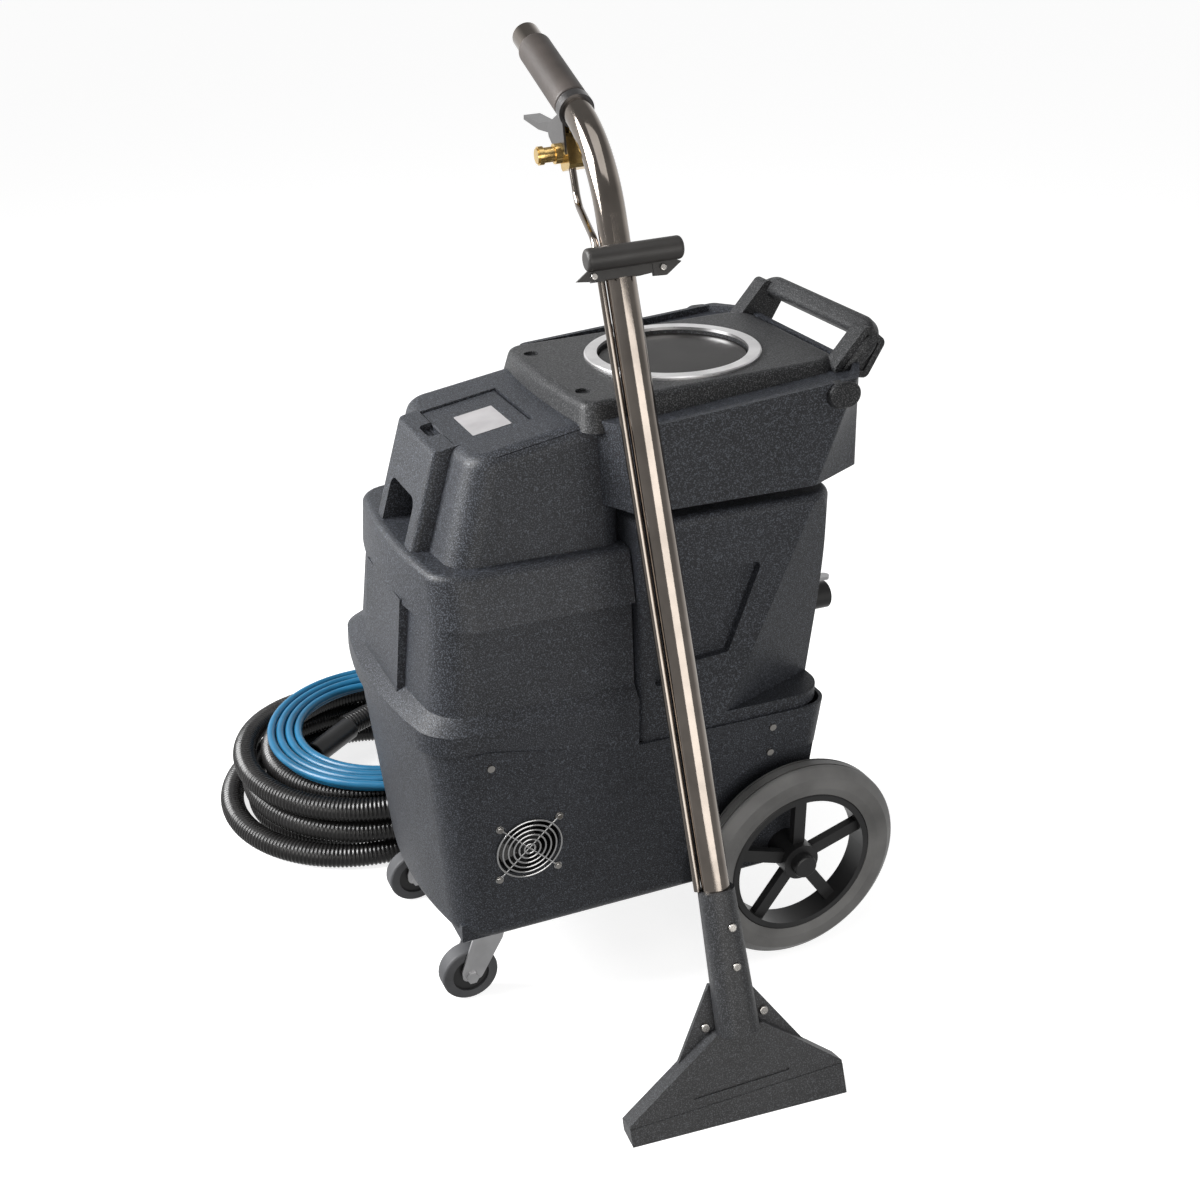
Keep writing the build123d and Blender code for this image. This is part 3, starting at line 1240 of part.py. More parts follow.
with BuildPart() as valve_bracket:
    with BuildSketch(valve_strap):
        Circle(TUBE_D / 2 + 4)
        Circle(TUBE_D / 2 + SHAFT_FIT, mode=Mode.SUBTRACT)
    extrude(amount=STRAP_W / 2, both=True)
    for sign in (-1, 1):
        with BuildSketch(Plane.YZ.offset(sign * (VALVE_W / 2 + 0.1))) as cheek:
            with BuildLine():
                Polyline((VALVE_Y - 15, VALVE_Z - 4), (VALVE_Y - 24, VALVE_Z + 40),
                         (VALVE_Y - 14, VALVE_Z + 44),
                         (TRIGGER_Y + 8, TRIGGER_Z + 6), (TRIGGER_Y + 8, TRIGGER_Z - 8),
                         (VALVE_Y + 15, VALVE_Z - 4),
                         close=True)
            make_face()
        extrude(amount=sign * 2.5)
    with Locations(Location((-VALVE_W / 2, VALVE_Y, VALVE_Z), (0, -90, 0))):
        Cylinder(12.3, 30, mode=Mode.SUBTRACT)
    add(tube_run(TUBE_D / 2 + SHAFT_FIT), mode=Mode.SUBTRACT)
    with BuildSketch(grip_plane):
        Circle(SLEEVE_D / 2 + SEAT_GAP)
    extrude(amount=-SLEEVE_L - SEAT_GAP, mode=Mode.SUBTRACT)
    with Locations(Location((0, TRIGGER_Y, TRIGGER_Z), (0, 90, 0))):
        Cylinder(TRIGGER_PIN_D / 2, VALVE_W + 5)
keep(valve_bracket, "valve_bracket", WAND_PLACE)

with BuildPart() as trigger:
    with BuildSketch(Plane.YZ) as lever:
        with BuildLine():
            Polyline((TRIGGER_Y - 7, TRIGGER_Z + 7), (TRIGGER_Y + 8, TRIGGER_Z + 9),
                     (TRIGGER_Y + 60, TRIGGER_Z + 16),
                     (TRIGGER_Y + 118, TRIGGER_Z + 36), (TRIGGER_Y + 121, TRIGGER_Z + 31),
                     (TRIGGER_Y + 66, TRIGGER_Z + 9),
                     (TRIGGER_Y + 9, TRIGGER_Z - 6), (TRIGGER_Y - 7, TRIGGER_Z - 7), close=True)
        make_face()
    extrude(amount=11, both=True)
    with Locations(Location((0, TRIGGER_Y, TRIGGER_Z), (0, 90, 0))):
        Cylinder(TRIGGER_PIN_D / 2 + SHAFT_FIT, FAR, mode=Mode.SUBTRACT)
keep(trigger, "trigger", WAND_PLACE)

# Second handle: a crossbar on a clamp round the tube
with BuildPart() as clamp_handle:
    with Locations((0, -4, CLAMP_Z)):
        Box(62, 50, 32)
    with Locations(Location((10, -28, CLAMP_Z + 8), (0, 90, 0))):
        Cylinder(BAR_D / 2, BAR_L)
    fillet(clamp_handle.edges().filter_by(GeomType.CIRCLE), 5)
    with BuildSketch(Plane.XZ.offset(24)) as wings:
        with BuildLine():
            Polyline((-63, CLAMP_Z - 14), (-30, CLAMP_Z - 18), (-30, CLAMP_Z + 8), close=True)
        make_face()
        with BuildLine():
            Polyline((30, CLAMP_Z - 20), (46, CLAMP_Z - 21), (66, CLAMP_Z - 8), (30, CLAMP_Z + 8), close=True)
        make_face()
    extrude(amount=6)
    with Locations((0, 0, CLAMP_Z)):
        Cylinder(TUBE_D / 2 + SHAFT_FIT, 80, mode=Mode.SUBTRACT)
    with Locations((LINE_X, LINE_Y, CLAMP_Z)):
        Cylinder(SPRAY_D / 2 + SEAT_GAP, 80, mode=Mode.SUBTRACT)
keep(clamp_handle, "clamp_handle", WAND_PLACE)

with BuildPart() as clamp_screws:
    with BuildSketch(Plane.XZ.offset(30)):
        with Locations((-42, CLAMP_Z - 11), (42, CLAMP_Z - 12)):
            Circle(4)
    extrude(amount=4)
    heads = clamp_screws.edges().filter_by(GeomType.CIRCLE).group_by(Axis.Y)[0]
    fillet(heads, 1.2)
keep(clamp_screws, "clamp_screws", WAND_PLACE)

# Hoses: flat spirals laid in layers on the floor behind the machine
def coil_stations(centre, z0, radius, pitch, step, drift, layers, start, tail=0.0):
    """Quarter-turn stations of the coil and the direction of the hose at each of them; the
    last quarter turn is drawn in by tail, so that the end lies inside the ring."""
    rate = pitch / (2 * math.pi)
    places = []
    angle = math.radians(start)
    way = -1
    for number, quarters in enumerate(layers):
        for quarter in range(quarters):
            places.append((angle, radius, way * rate, z0 + number * step, drift * number, 0, 0))
            angle += math.pi / 2
            radius += way * rate * math.pi / 2
        if number < len(layers) - 1:
            places.append((angle, radius, way * rate, z0 + number * step, drift * number, 0, 0))
            middle = radius + way * rate * math.pi / 4
            places.append((angle + math.pi / 2, middle, 0, z0 + (number + 0.5) * step, drift * (number + 0.5),
                           1.5 * step / math.pi, 1.5 * drift / math.pi))
            angle += math.pi
            way = -way
        else:
            places.append((angle, radius, way * rate, z0 + number * step, drift * number, 0, 0))
            if tail:
                slope = -4 * tail / math.pi - way * rate
                places.append((angle + math.pi / 2, radius - tail, slope, z0 + number * step,
                               drift * number, 0, 0))
    stations = []
    for angle, radius, slope, z, shift, climb, slip in places:
        point = Vector(centre[0] + shift + radius * math.cos(angle), centre[1] + radius * math.sin(angle), z)
        heading = Vector(slip + slope * math.cos(angle) - radius * math.sin(angle),
                         slope * math.sin(angle) + radius * math.cos(angle), climb)
        stations.append((point, heading.normalized()))
    return stations


def coil_line(stations, lead):
    """Pairs of arcs through the stations, with straight ends of the given length."""
    with BuildLine() as path:
        first, heading = stations[0]
        Line(first - heading * lead, first)
        for (p0, t0), (p1, t1) in zip(stations[:-1], stations[1:]):
            chord = p1 - p0
            both = t0 + t1
            grade = 2 * (1 - t0.dot(t1))
            reach = chord.dot(both)
            size = (math.sqrt(reach * reach + grade * chord.dot(chord)) - reach) / grade
            joint = (p0 + p1 + (t0 - t1) * size) * 0.5
            TangentArc(p0, joint, tangent=t0)
            TangentArc(joint, p1, tangent=t1 * -1, tangent_from_first=False)
        last, heading = stations[-1]
        Line(last, last + heading * lead)
    return path.line


def hose(stations, lead, outer, bore):
    line = coil_line(stations, lead)
    first, heading = stations[0]
    with BuildPart() as tube:
        with BuildLine():
            add(line)
        with BuildSketch(Plane(origin=first - heading * lead, z_dir=heading)):
            Circle(outer / 2)
            Circle(bore / 2, mode=Mode.SUBTRACT)
        sweep()
    return tube


VAC_Z = VAC_HOSE_D / 2 + FLOOR_GAP
vac_stations = coil_stations(VAC_CENTRE, VAC_Z, VAC_R, VAC_PITCH, VAC_STEP, VAC_DRIFT, VAC_LAYERS, VAC_START,
                             VAC_TAIL)
vacuum_hose = hose(vac_stations, VAC_HOSE_D, VAC_HOSE_D, VAC_HOSE_BORE)
keep(vacuum_hose, "vacuum_hose")

BLUE_Z = VAC_Z + (len(VAC_LAYERS) - 1) * VAC_STEP + VAC_HOSE_D / 2 + BLUE_HOSE_D / 2 + SEAT_GAP
blue_stations = coil_stations(BLUE_CENTRE, BLUE_Z, BLUE_R, BLUE_PITCH, BLUE_STEP, 0, BLUE_LAYERS, BLUE_START)
solution_hose = hose(blue_stations, 2 * BLUE_HOSE_D, BLUE_HOSE_D, BLUE_HOSE_BORE)
keep(solution_hose, "solution_hose")


def end_planes(stations, lead):
    """Planes at the two cut ends of a hose, facing away from it."""
    first, heading = stations[0]
    last, onward = stations[-1]
    return (Plane(origin=first - heading * lead, z_dir=heading * -1),
            Plane(origin=last + onward * lead, z_dir=onward))


with BuildPart() as vacuum_cuffs:
    for end in end_planes(vac_stations, VAC_HOSE_D):
        with BuildSketch(end):
            Circle(CUFF_D / 2)
            Circle(VAC_HOSE_BORE / 2, mode=Mode.SUBTRACT)
        extrude(amount=CUFF_L)
keep(vacuum_cuffs, "vacuum_cuffs")

with BuildPart() as hose_fittings:
    for end in end_planes(blue_stations, 2 * BLUE_HOSE_D):
        with BuildSketch(end):
            Circle(FERRULE_D / 2)
            Circle(BLUE_HOSE_BORE / 2, mode=Mode.SUBTRACT)
        extrude(amount=FERRULE_L * 0.55)
        with BuildSketch(end.offset(FERRULE_L * 0.55)):
            RegularPolygon(FERRULE_D / 2 + 2, 6)
            Circle(BLUE_HOSE_BORE / 2, mode=Mode.SUBTRACT)
        extrude(amount=FERRULE_L * 0.2)
        with BuildSketch(end.offset(FERRULE_L * 0.75)):
            Circle(FERRULE_D / 2 - 1)
            Circle(BLUE_HOSE_BORE / 2, mode=Mode.SUBTRACT)
        extrude(amount=FERRULE_L * 0.25)
keep(hose_fittings, "hose_fittings")


def least_gap(stations, lead, outer):
    """Least free space between turns that are not next to each other along the hose."""
    line = coil_line(stations, lead).wires()[0]
    count = int(line.length / (outer / 4))
    points = [tuple(line.position_at(index / count)) for index in range(count + 1)]
    return min(math.dist(points[i], points[j]) for i in range(count) for j in range(i + 16, count + 1)) - outer


print("vacuum hose: least gap to itself", round(least_gap(vac_stations, VAC_HOSE_D, VAC_HOSE_D), 2), "mm")
print("solution hose: least gap to itself",
      round(least_gap(blue_stations, 2 * BLUE_HOSE_D, BLUE_HOSE_D), 2), "mm")

# The origin goes to the middle of the footprint of everything but the hoses
CORDS = ("vacuum_hose", "solution_hose", "vacuum_cuffs", "hose_fittings")
boxes = [piece.bounding_box() for name, piece in pieces.items() if name not in CORDS]
SHIFT_X = -(min(box.min.X for box in boxes) + max(box.max.X for box in boxes)) / 2
SHIFT_Y = -(min(box.min.Y for box in boxes) + max(box.max.Y for box in boxes)) / 2
SHIFT = Location((SHIFT_X, SHIFT_Y, 0))
for name, piece in pieces.items():
    placed = piece.moved(SHIFT)
    placed.label = name
    export_step(placed, os.path.join("parts", name + ".step"))
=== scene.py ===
import math

import bpy
import numpy as np
from mathutils import Matrix, Vector


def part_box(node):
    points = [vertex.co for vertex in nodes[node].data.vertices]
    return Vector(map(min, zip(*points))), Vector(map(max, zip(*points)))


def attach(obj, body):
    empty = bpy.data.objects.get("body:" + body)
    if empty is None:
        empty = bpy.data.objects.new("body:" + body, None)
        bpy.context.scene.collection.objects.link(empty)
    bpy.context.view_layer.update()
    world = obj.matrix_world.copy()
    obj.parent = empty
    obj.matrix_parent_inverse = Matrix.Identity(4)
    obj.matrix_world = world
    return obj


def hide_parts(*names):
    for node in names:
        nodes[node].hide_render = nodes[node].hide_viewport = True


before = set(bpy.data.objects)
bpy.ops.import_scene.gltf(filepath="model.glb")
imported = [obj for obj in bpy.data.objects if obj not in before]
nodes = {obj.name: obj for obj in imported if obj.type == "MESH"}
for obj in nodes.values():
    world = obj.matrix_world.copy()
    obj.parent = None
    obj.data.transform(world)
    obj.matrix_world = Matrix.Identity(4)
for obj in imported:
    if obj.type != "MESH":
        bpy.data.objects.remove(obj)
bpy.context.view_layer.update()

# The machine's own frame: millimetres, mid plane at y = 0, floor at z = 0, rear axle at x = 300
AXLE_X = 300.0
axle_low, axle_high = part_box("axle")
ORIGIN = Vector(((axle_low.x + axle_high.x) / 2 - AXLE_X / 1000, (axle_low.y + axle_high.y) / 2, 0))


def at(x, y, z):
    return ORIGIN + Vector((x, y, z)) / 1000


# Camera at the photograph's viewing angle
camera = bpy.data.objects.new("camera", bpy.data.cameras.new("camera"))
bpy.context.collection.objects.link(camera)
SENSOR_WIDTH = 36.0
LENS = 46.905
NEAREST = 0.01
CAMERA_SPOT = (-699.18, -1786.86, 1440.65)
CAMERA_RIGHT = Vector((0.9150, -0.4035, 0.0))
CAMERA_BACK = Vector((-0.3639, -0.8251, 0.4321))
CAMERA_UP = CAMERA_BACK.cross(CAMERA_RIGHT)
camera_turn = Matrix((CAMERA_RIGHT, CAMERA_UP, CAMERA_BACK)).transposed().to_4x4()
camera.matrix_world = Matrix.Translation(at(*CAMERA_SPOT)) @ camera_turn
camera.data.sensor_width = SENSOR_WIDTH
camera.data.lens = LENS
camera.data.clip_start = NEAREST
bpy.context.scene.camera = camera


# Material helpers
def start(name, colour, roughness, metallic=0.0):
    """A material with one principled shader; returns the material, its tree and the shader."""
    material = bpy.data.materials.new(name)
    material.use_nodes = True
    tree = material.node_tree
    shader = tree.nodes["Principled BSDF"]
    shader.inputs["Base Color"].default_value = (*colour, 1)
    shader.inputs["Roughness"].default_value = roughness
    shader.inputs["Metallic"].default_value = metallic
    return material, tree, shader


def put(tree, kind, **values):
    """A new node with the given inputs; a socket as value is linked."""
    node = tree.nodes.new(kind)
    for key, value in values.items():
        socket = node.inputs[key.replace("_", " ")]
        if isinstance(value, bpy.types.NodeSocket):
            tree.links.new(value, socket)
        else:
            socket.default_value = value
    return node


def place(tree, stretch=(1, 1, 1)):
    """The point on the object, in metres, stretched."""
    spot = tree.nodes.new("ShaderNodeTexCoord").outputs["Object"]
    return put(tree, "ShaderNodeMapping", Vector=spot, Scale=stretch).outputs["Vector"]


def grain(tree, scale, detail=2.0, stretch=(1, 1, 1)):
    """Noise with about scale features a metre."""
    noise = put(tree, "ShaderNodeTexNoise", Vector=place(tree, stretch), Scale=scale, Detail=detail)
    return noise.outputs["Fac"]


def ramp(tree, value, low, high, dark, light):
    """Colour that goes from dark to light as value goes from low to high."""
    node = put(tree, "ShaderNodeValToRGB", Fac=value)
    node.color_ramp.elements[0].position = low
    node.color_ramp.elements[0].color = (*dark, 1)
    node.color_ramp.elements[1].position = high
    node.color_ramp.elements[1].color = (*light, 1)
    return node.outputs["Color"]


def uneven_gloss(tree, shader, value, low, high):
    """Roughness that goes from low to high as value goes from 0 to 1."""
    spread = put(tree, "ShaderNodeMapRange", Value=value, To_Min=low, To_Max=high)
    tree.links.new(spread.outputs["Result"], shader.inputs["Roughness"])


def blend(tree, share, first, second):
    """Colour mixed from first and second by share."""
    node = tree.nodes.new("ShaderNodeMix")
    node.data_type = "RGBA"
    for socket, value in ((node.inputs[0], share), (node.inputs[6], first), (node.inputs[7], second)):
        if isinstance(value, bpy.types.NodeSocket):
            tree.links.new(value, socket)
        else:
            socket.default_value = value
    return node.outputs[2]


def bump(tree, shader, height, distance, strength):
    """Relief on the surface, at most distance deep in metres."""
    relief = put(tree, "ShaderNodeBump", Height=height, Distance=distance, Strength=strength)
    tree.links.new(relief.outputs["Normal"], shader.inputs["Normal"])


SPECK_SCALE = 640
SPECK_FROM = 0.5
SPECK_FULL = 0.66
PEBBLE_SCALE = 420
PEBBLE_DEPTH = 0.0005
MARK_SCALE = 700
MARK_DEPTH = 0.00003
BLACKEST = (0, 0, 0)
WHITEST = (1, 1, 1)


def moulded(name, dark, light, speck, roughness, gloss=0.4):
    """Rotationally moulded plastic: pebbled skin, pale specks and a slow drift in tone."""
    material, tree, shader = start(name, dark, roughness)
    shader.inputs["Specular IOR Level"].default_value = gloss
    tone = ramp(tree, grain(tree, 9, 4), 0.3, 0.7, dark, light)
    specks = ramp(tree, grain(tree, SPECK_SCALE), SPECK_FROM, SPECK_FULL, BLACKEST, WHITEST)
    tree.links.new(blend(tree, specks, tone, (*speck, 1)), shader.inputs["Base Color"])
    uneven_gloss(tree, shader, grain(tree, 300, 3), roughness - 0.1, roughness + 0.12)
    bump(tree, shader, grain(tree, PEBBLE_SCALE, 3), PEBBLE_DEPTH, 0.8)
    return material


def satin(name, colour, roughness, scale=900, depth=0.00008, gloss=0.5):
    """Plain moulded or painted surface with a fine grain and uneven gloss."""
    material, tree, shader = start(name, colour, roughness)
    shader.inputs["Specular IOR Level"].default_value = gloss
    paler = [min(1, c * 1.35 + 0.004) for c in colour]
    darker = [c * 0.8 for c in colour]
    tree.links.new(ramp(tree, grain(tree, 14, 5), 0.3, 0.7, darker, paler), shader.inputs["Base Color"])
    uneven_gloss(tree, shader, grain(tree, 45, 4), roughness - 0.08, roughness + 0.1)
    bump(tree, shader, grain(tree, scale), depth, 0.6)
    return material


def drawn_metal(name, colour, roughness, stretch=(1, 1, 1)):
    """Bright metal with fine marks drawn out along one direction."""
    material, tree, shader = start(name, colour, roughness, 1.0)
    marks = grain(tree, MARK_SCALE, 3, stretch)
    darker = [c * 0.82 for c in colour]
    tree.links.new(ramp(tree, grain(tree, 30, 4), 0.35, 0.65, darker, colour), shader.inputs["Base Color"])
    uneven_gloss(tree, shader, marks, roughness * 0.7, roughness * 1.4)
    bump(tree, shader, marks, MARK_DEPTH, 0.5)
    return material


BODY = moulded("body_plastic", dark=(0.0075, 0.0082, 0.0105), light=(0.0135, 0.0145, 0.018),
               speck=(0.074, 0.082, 0.098), roughness=0.50)
DECK = moulded("deck_plastic", dark=(0.009, 0.0095, 0.0105), light=(0.017, 0.0175, 0.018),
               speck=(0.08, 0.081, 0.085), roughness=0.46, gloss=0.3)
HEAD = moulded("head_plastic", dark=(0.014, 0.0145, 0.0155), light=(0.023, 0.0235, 0.025),
               speck=(0.074, 0.077, 0.085), roughness=0.48, gloss=0.5)
BLACK = satin("black_plastic", (0.012, 0.012, 0.0125), 0.38)
PANEL = satin("panel_black", (0.016, 0.016, 0.017), 0.45)
GRIP = satin("grip_rubber", (0.042, 0.034, 0.03), 0.5, 1400, 0.00015)
CLAMP = satin("clamp_black", (0.026, 0.024, 0.0225), 0.46, 1400, 0.0001)
TYRE = satin("tyre_rubber", (0.115, 0.114, 0.112), 0.5, 1100, 0.00015)
TREAD = satin("caster_rubber", (0.055, 0.056, 0.06), 0.6, 1100, 0.00012)
GASKET = satin("gasket_rubber", (0.01, 0.01, 0.01), 0.7)
ZINC = drawn_metal("zinc", (0.66, 0.66, 0.67), 0.34)
STEEL = drawn_metal("steel", (0.50, 0.48, 0.455), 0.2)
DARK_STEEL = drawn_metal("dark_steel", (0.17, 0.165, 0.165), 0.3)
WIRE = drawn_metal("guard_wire", (0.70, 0.70, 0.70), 0.16)
# The tube's base colour is darker and warmer than bare steel. It is a painted dark brown reflection of a
# room, since the surroundings here are white.
TUBE = drawn_metal("stainless", (0.30, 0.265, 0.235), 0.11, (1, 1, 0.03))
COLLAR = drawn_metal("collar_metal", (0.86, 0.85, 0.85), 0.30, (0.2, 1, 1))
MOTOR = drawn_metal("motor_metal", (0.45, 0.45, 0.46), 0.4)
BRASS = drawn_metal("brass", (0.80, 0.56, 0.22), 0.22)
SMOKED = satin("smoked_lid", (0.012, 0.011, 0.0105), 0.16, 300, 0.00002, 0.05)
LABEL = satin("label", (0.27, 0.262, 0.266), 0.5, 1500, 0.00003)
FLOAT = satin("float_plastic", (0.75, 0.75, 0.72), 0.45)
SWITCH = satin("switch_plastic", (0.02, 0.02, 0.02), 0.25)
HOSE = satin("hose_black", (0.010, 0.0095, 0.0095), 0.27, 700, 0.00005)
BLUE = satin("hose_blue", (0.006, 0.10, 0.20), 0.34, 900, 0.0001)

WEARS = {
    BODY: ("base_housing", "recovery_tank", "solution_tank", "fill_lid"),
    DECK: ("top_deck", "transport_handle", "handle_bosses"),
    HEAD: ("wand_head",),
    BLACK: ("near_axle_cap", "far_axle_cap", "near_hub", "far_hub", "near_caster_core", "far_caster_core",
            "fan_frame", "fan_rotor", "power_inlets", "vacuum_inlet", "drain_valve", "vacuum_cuffs"),
    CLAMP: ("clamp_handle",),
    PANEL: ("control_panel",),
    GRIP: ("wand_grip",),
    TYRE: ("near_tyre", "far_tyre"),
    TREAD: ("near_caster_tread", "far_caster_tread"),
    GASKET: ("lid_gasket",),
    ZINC: ("near_caster_plate", "far_caster_plate", "near_caster_fork", "far_caster_fork", "drain_handle"),
    STEEL: ("axle", "guard_screws", "housing_screws", "head_bolts", "clamp_screws", "hose_fittings"),
    DARK_STEEL: ("valve_bracket", "trigger"),
    WIRE: ("fan_guard",),
    TUBE: ("wand_tube", "spray_tube"),
    COLLAR: ("lid_collar",),
    MOTOR: ("front_vacuum_motor", "rear_vacuum_motor", "solution_pump"),
    BRASS: ("solution_coupler", "spray_jets", "valve_body"),
    SMOKED: ("tank_lid",),
    LABEL: ("lid_label",),
    FLOAT: ("float_cage", "float_ball"),
    SWITCH: ("near_switch", "middle_switch", "far_switch"),
}
for material, names in WEARS.items():
    for name in names:
        slots = nodes[name].data.materials
        slots.clear()
        slots.append(material)


# Hoses: the coils' own points, then a tube along the spline through them
TURN_POINTS = 24


def coil_points(centre, z0, radius, pitch, step, drift, layers, start_deg, lead, tail=0):
    """Points of a coil laid in layers: each spirals in or out by pitch a turn and climbs in a half turn.
    A tail draws the last quarter turn in, so that the end lies inside the ring."""
    rate = pitch / (2 * math.pi)
    swell = 1 / math.cos(math.pi / TURN_POINTS)
    stepping = 2 * math.pi / TURN_POINTS
    quarter = TURN_POINTS // 4
    angle = math.radians(start_deg)
    way = -1
    points = []

    def add(radius, angle, z, shift):
        points.append(Vector((centre[0] + shift + radius * swell * math.cos(angle),
                              centre[1] + radius * swell * math.sin(angle), z)))

    for number, quarters in enumerate(layers):
        for index in range(quarters * quarter):
            add(radius, angle, z0 + number * step, drift * number)
            angle += stepping
            radius += way * rate * stepping
        if number == len(layers) - 1:
            add(radius, angle, z0 + number * step, drift * number)
            pull = (tail + way * rate * math.pi / 2) / (math.pi / 2) ** 2
            for index in range(1, quarter + 1 if tail else 1):
                turned = index * stepping
                add(radius + way * rate * turned - pull * turned * turned, angle + turned,
                    z0 + number * step, drift * number)
            break
        for index in range(2 * quarter):
            turned = index * stepping
            share = turned / math.pi
            climb = share * share * (3 - 2 * share)
            add(radius + way * rate * (turned - turned * turned / math.pi), angle + turned,
                z0 + (number + climb) * step, drift * (number + climb))
        angle += math.pi
        way = -way
    first = (points[0] - points[1]).normalized()
    last = (points[-1] - points[-2]).normalized()
    points.insert(0, points[0] + first * lead)
    points.append(points[-1] + last * lead)
    return [at(*point) for point in points]


def spline_line(name, points):
    """The smooth line of the route: a NURBS spline read back as points along it."""
    curve = bpy.data.curves.new(name, "CURVE")
    curve.dimensions = "3D"
    curve.resolution_u = 12
    spline = curve.splines.new("NURBS")
    spline.points.add(len(points) - 1)
    for point, spot in zip(spline.points, points):
        point.co = (*spot, 1)
    spline.order_u = 3
    spline.use_endpoint_u = True
    holder = bpy.data.objects.new(name, curve)
    mesh = bpy.data.meshes.new_from_object(holder)
    line = np.array([vertex.co[:] for vertex in mesh.vertices])
    bpy.data.objects.remove(holder)
    bpy.data.meshes.remove(mesh)
    return line


def along(line, stations):
    """Points and directions at the given distances along a line."""
    steps = np.linalg.norm(np.diff(line, axis=0), axis=1)
    travelled = np.concatenate([[0], np.cumsum(steps)])
    spots = np.stack([np.interp(stations, travelled, line[:, k]) for k in range(3)], axis=1)
    ahead = np.gradient(spots, axis=0)
    return spots, ahead / np.linalg.norm(ahead, axis=1)[:, None]


def length_of(line):
    return float(np.linalg.norm(np.diff(line, axis=0), axis=1).sum())


def tube(name, line, stations, radii, sides, material):
    """A closed tube round a line, with a radius at each station along it."""
    spots, ahead = along(line, stations)
    across = np.cross(ahead, (0, 0, 1.0))
    across /= np.linalg.norm(across, axis=1)[:, None]
    upward = np.cross(across, ahead)
    turn = np.arange(sides) * 2 * np.pi / sides
    ring = np.cos(turn)[None, :, None] * across[:, None] + np.sin(turn)[None, :, None] * upward[:, None]
    verts = (spots[:, None] + ring * np.array(radii)[:, None, None]).reshape(-1, 3)
    rows = np.arange(len(spots) - 1)[:, None] * sides
    here = np.arange(sides)[None]
    after = (here + 1) % sides
    corners = (rows + here, rows + after, rows + sides + after, rows + sides + here)
    quads = np.stack(corners, axis=2).reshape(-1, 4)
    faces = [*quads.tolist(), list(range(sides))[::-1], list(range(len(verts) - sides, len(verts)))]
    mesh = bpy.data.meshes.new(name)
    mesh.from_pydata(verts.tolist(), [], faces)
    mesh.polygons.foreach_set("use_smooth", [True] * len(quads) + [False, False])
    mesh.materials.append(material)
    piece = bpy.data.objects.new(name, mesh)
    bpy.context.collection.objects.link(piece)
    return piece


FLOOR_GAP = 0.3
VAC_D = 38.0
VAC_CENTRE = (-160, 428)
VAC_R = 236
VAC_PITCH = 45
VAC_STEP = 38.8
VAC_DRIFT = 14
VAC_LAYERS = (6, 4, 6)
VAC_START = 0
VAC_TAIL = 60
VAC_SIDES = 28
VAC_Z = VAC_D / 2 + FLOOR_GAP
BLUE_D = 12.7
BLUE_CENTRE = (-112, 418)
BLUE_R = 190
BLUE_PITCH = 14.6
BLUE_STEP = 13.6
BLUE_DRIFT = 0
BLUE_LAYERS = (12, 13)
BLUE_START = -20
BLUE_SIDES = 20
BLUE_SPACING = 0.008
BLUE_Z = VAC_Z + (len(VAC_LAYERS) - 1) * VAC_STEP + VAC_D / 2 + BLUE_D / 2 + FLOOR_GAP

# Vacuum hose: a rib every RIB metres, its shape given as shares of that pitch with the radius at each
vac_points = coil_points(VAC_CENTRE, VAC_Z, VAC_R, VAC_PITCH, VAC_STEP, VAC_DRIFT, VAC_LAYERS, VAC_START,
                         VAC_D, VAC_TAIL)
vac_line = spline_line("vac_route", vac_points)
RIB = 0.0062
rib_count = int(length_of(vac_line) / RIB)
rib_starts = np.arange(rib_count) * length_of(vac_line) / rib_count
RIB_SHAPE = ((0.0, 0.0171), (0.26, 0.0172), (0.45, 0.0188), (0.63, 0.0190), (0.83, 0.0187))
vac_stations = np.concatenate([rib_starts + share * RIB for share, radius in RIB_SHAPE])
vac_radii = np.concatenate([np.full(rib_count, radius) for share, radius in RIB_SHAPE])
order = np.argsort(vac_stations)
vacuum_hose = tube("vacuum_hose_ribbed", vac_line, vac_stations[order], vac_radii[order], VAC_SIDES, HOSE)
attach(vacuum_hose, "hose_set")
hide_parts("vacuum_hose")

# Solution hose: smooth, laid flat on the vacuum hose
blue_points = coil_points(BLUE_CENTRE, BLUE_Z, BLUE_R, BLUE_PITCH, BLUE_STEP, BLUE_DRIFT, BLUE_LAYERS,
                          BLUE_START, 2 * BLUE_D)
blue_line = spline_line("blue_route", blue_points)
blue_stations = np.linspace(0, length_of(blue_line), int(length_of(blue_line) / BLUE_SPACING))
blue_radii = np.full(len(blue_stations), BLUE_D / 2000)
solution_hose = tube("solution_hose_smooth", blue_line, blue_stations, blue_radii, BLUE_SIDES, BLUE)
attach(solution_hose, "hose_set")
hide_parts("solution_hose")


# White floor and backdrop: bright behind and to the left, dim from above on the near side
def light(name, spot, target, width, height, power, colour=WHITEST):
    """A rectangular lamp at spot that faces target; both in the machine's frame, its sides in metres."""
    data = bpy.data.lights.new(name, "AREA")
    data.shape = "RECTANGLE"
    data.size = width
    data.size_y = height
    data.energy = power
    data.color = colour
    lamp = bpy.data.objects.new(name, data)
    bpy.context.collection.objects.link(lamp)
    lamp.location = at(*spot)
    lamp.rotation_mode = "QUATERNION"
    lamp.rotation_quaternion = (at(*target) - at(*spot)).to_track_quat("-Z", "Y")


light("left", spot=(-2300, 700, 2000), target=(0, 0, 500), width=1.6, height=1.8, power=190)
light("top", spot=(-200, -700, 2900), target=(50, 0, 500), width=1.6, height=1.6, power=10)
light("panel", spot=(-170, -2840, 1000), target=(60, -300, 750), width=2.6, height=1.7, power=42,
      colour=(1.0, 0.98, 0.95))

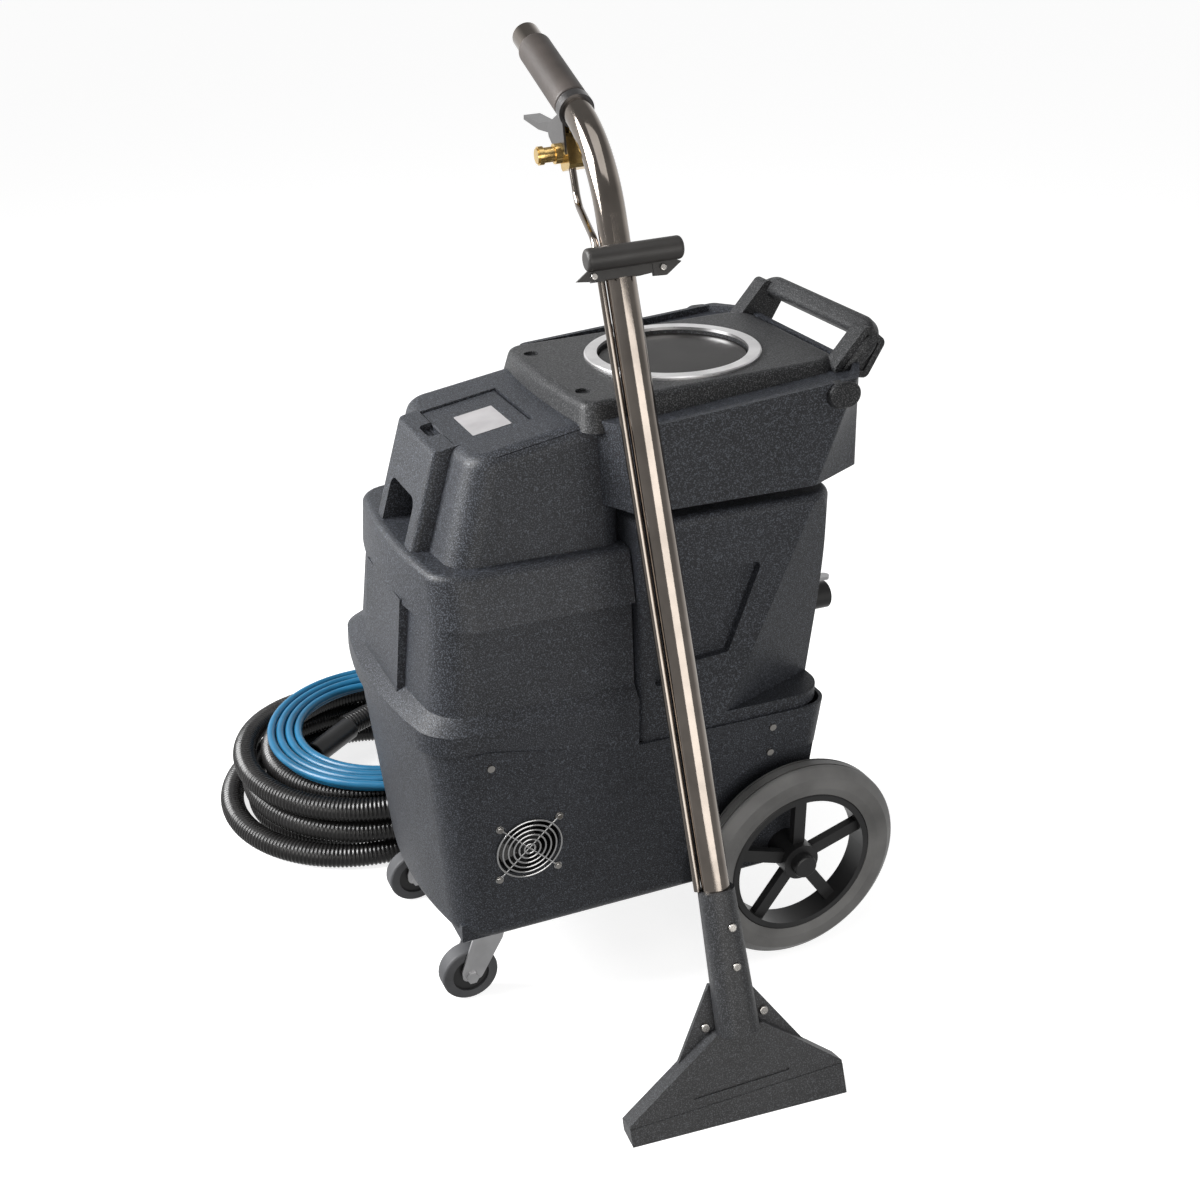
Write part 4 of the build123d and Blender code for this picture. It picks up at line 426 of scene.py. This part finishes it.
FLOOR_SIDE = 60
FLOOR_TONE = 0.5
FLOOR_GLOW = 0.8
bpy.ops.mesh.primitive_plane_add(size=FLOOR_SIDE, location=at(0, 0, 0))
floor = bpy.context.object
floor.name = "floor"
floor.visible_diffuse = False
floor.visible_glossy = False
floor_material, floor_tree, floor_shader = start("floor", (FLOOR_TONE, FLOOR_TONE, FLOOR_TONE), 0.9)
floor_shader.inputs["Specular IOR Level"].default_value = 0.0
floor_shader.inputs["Emission Color"].default_value = (*WHITEST, 1)
floor_shader.inputs["Emission Strength"].default_value = FLOOR_GLOW
floor.data.materials.append(floor_material)

NEAR_LOW_GLOW = 0.38
NEAR_HIGH_GLOW = 0.25
FAR_LOW_GLOW = 0.95
FAR_HIGH_GLOW = 0.25
FAR_WAY = (0.40, 0.915, 0.0)
UP = (0.0, 0.0, 1.0)
world = bpy.data.worlds.new("studio")
bpy.context.scene.world = world
world.use_nodes = True
sky = world.node_tree


def toward(way):
    """How far the view direction points along way, from -1 to 1."""
    node = sky.nodes.new("ShaderNodeVectorMath")
    node.operation = "DOT_PRODUCT"
    node.inputs[1].default_value = way
    sky.links.new(sky.nodes.new("ShaderNodeTexCoord").outputs["Generated"], node.inputs[0])
    return node.outputs["Value"]


near_glow = put(sky, "ShaderNodeMapRange", Value=toward(UP), From_Min=-0.1, From_Max=0.5,
                To_Min=NEAR_LOW_GLOW, To_Max=NEAR_HIGH_GLOW).outputs["Result"]
far_glow = put(sky, "ShaderNodeMapRange", Value=toward(UP), From_Min=0.25, From_Max=0.7,
               To_Min=FAR_LOW_GLOW, To_Max=FAR_HIGH_GLOW).outputs["Result"]
sky_glow = put(sky, "ShaderNodeMapRange", Value=toward(FAR_WAY), From_Min=-0.1, From_Max=0.5,
               To_Min=near_glow, To_Max=far_glow).outputs["Result"]
sky.links.new(sky_glow, sky.nodes["Background"].inputs["Strength"])
sky.nodes["Background"].inputs["Color"].default_value = (*WHITEST, 1)
bpy.context.scene.view_settings.view_transform = "Standard"
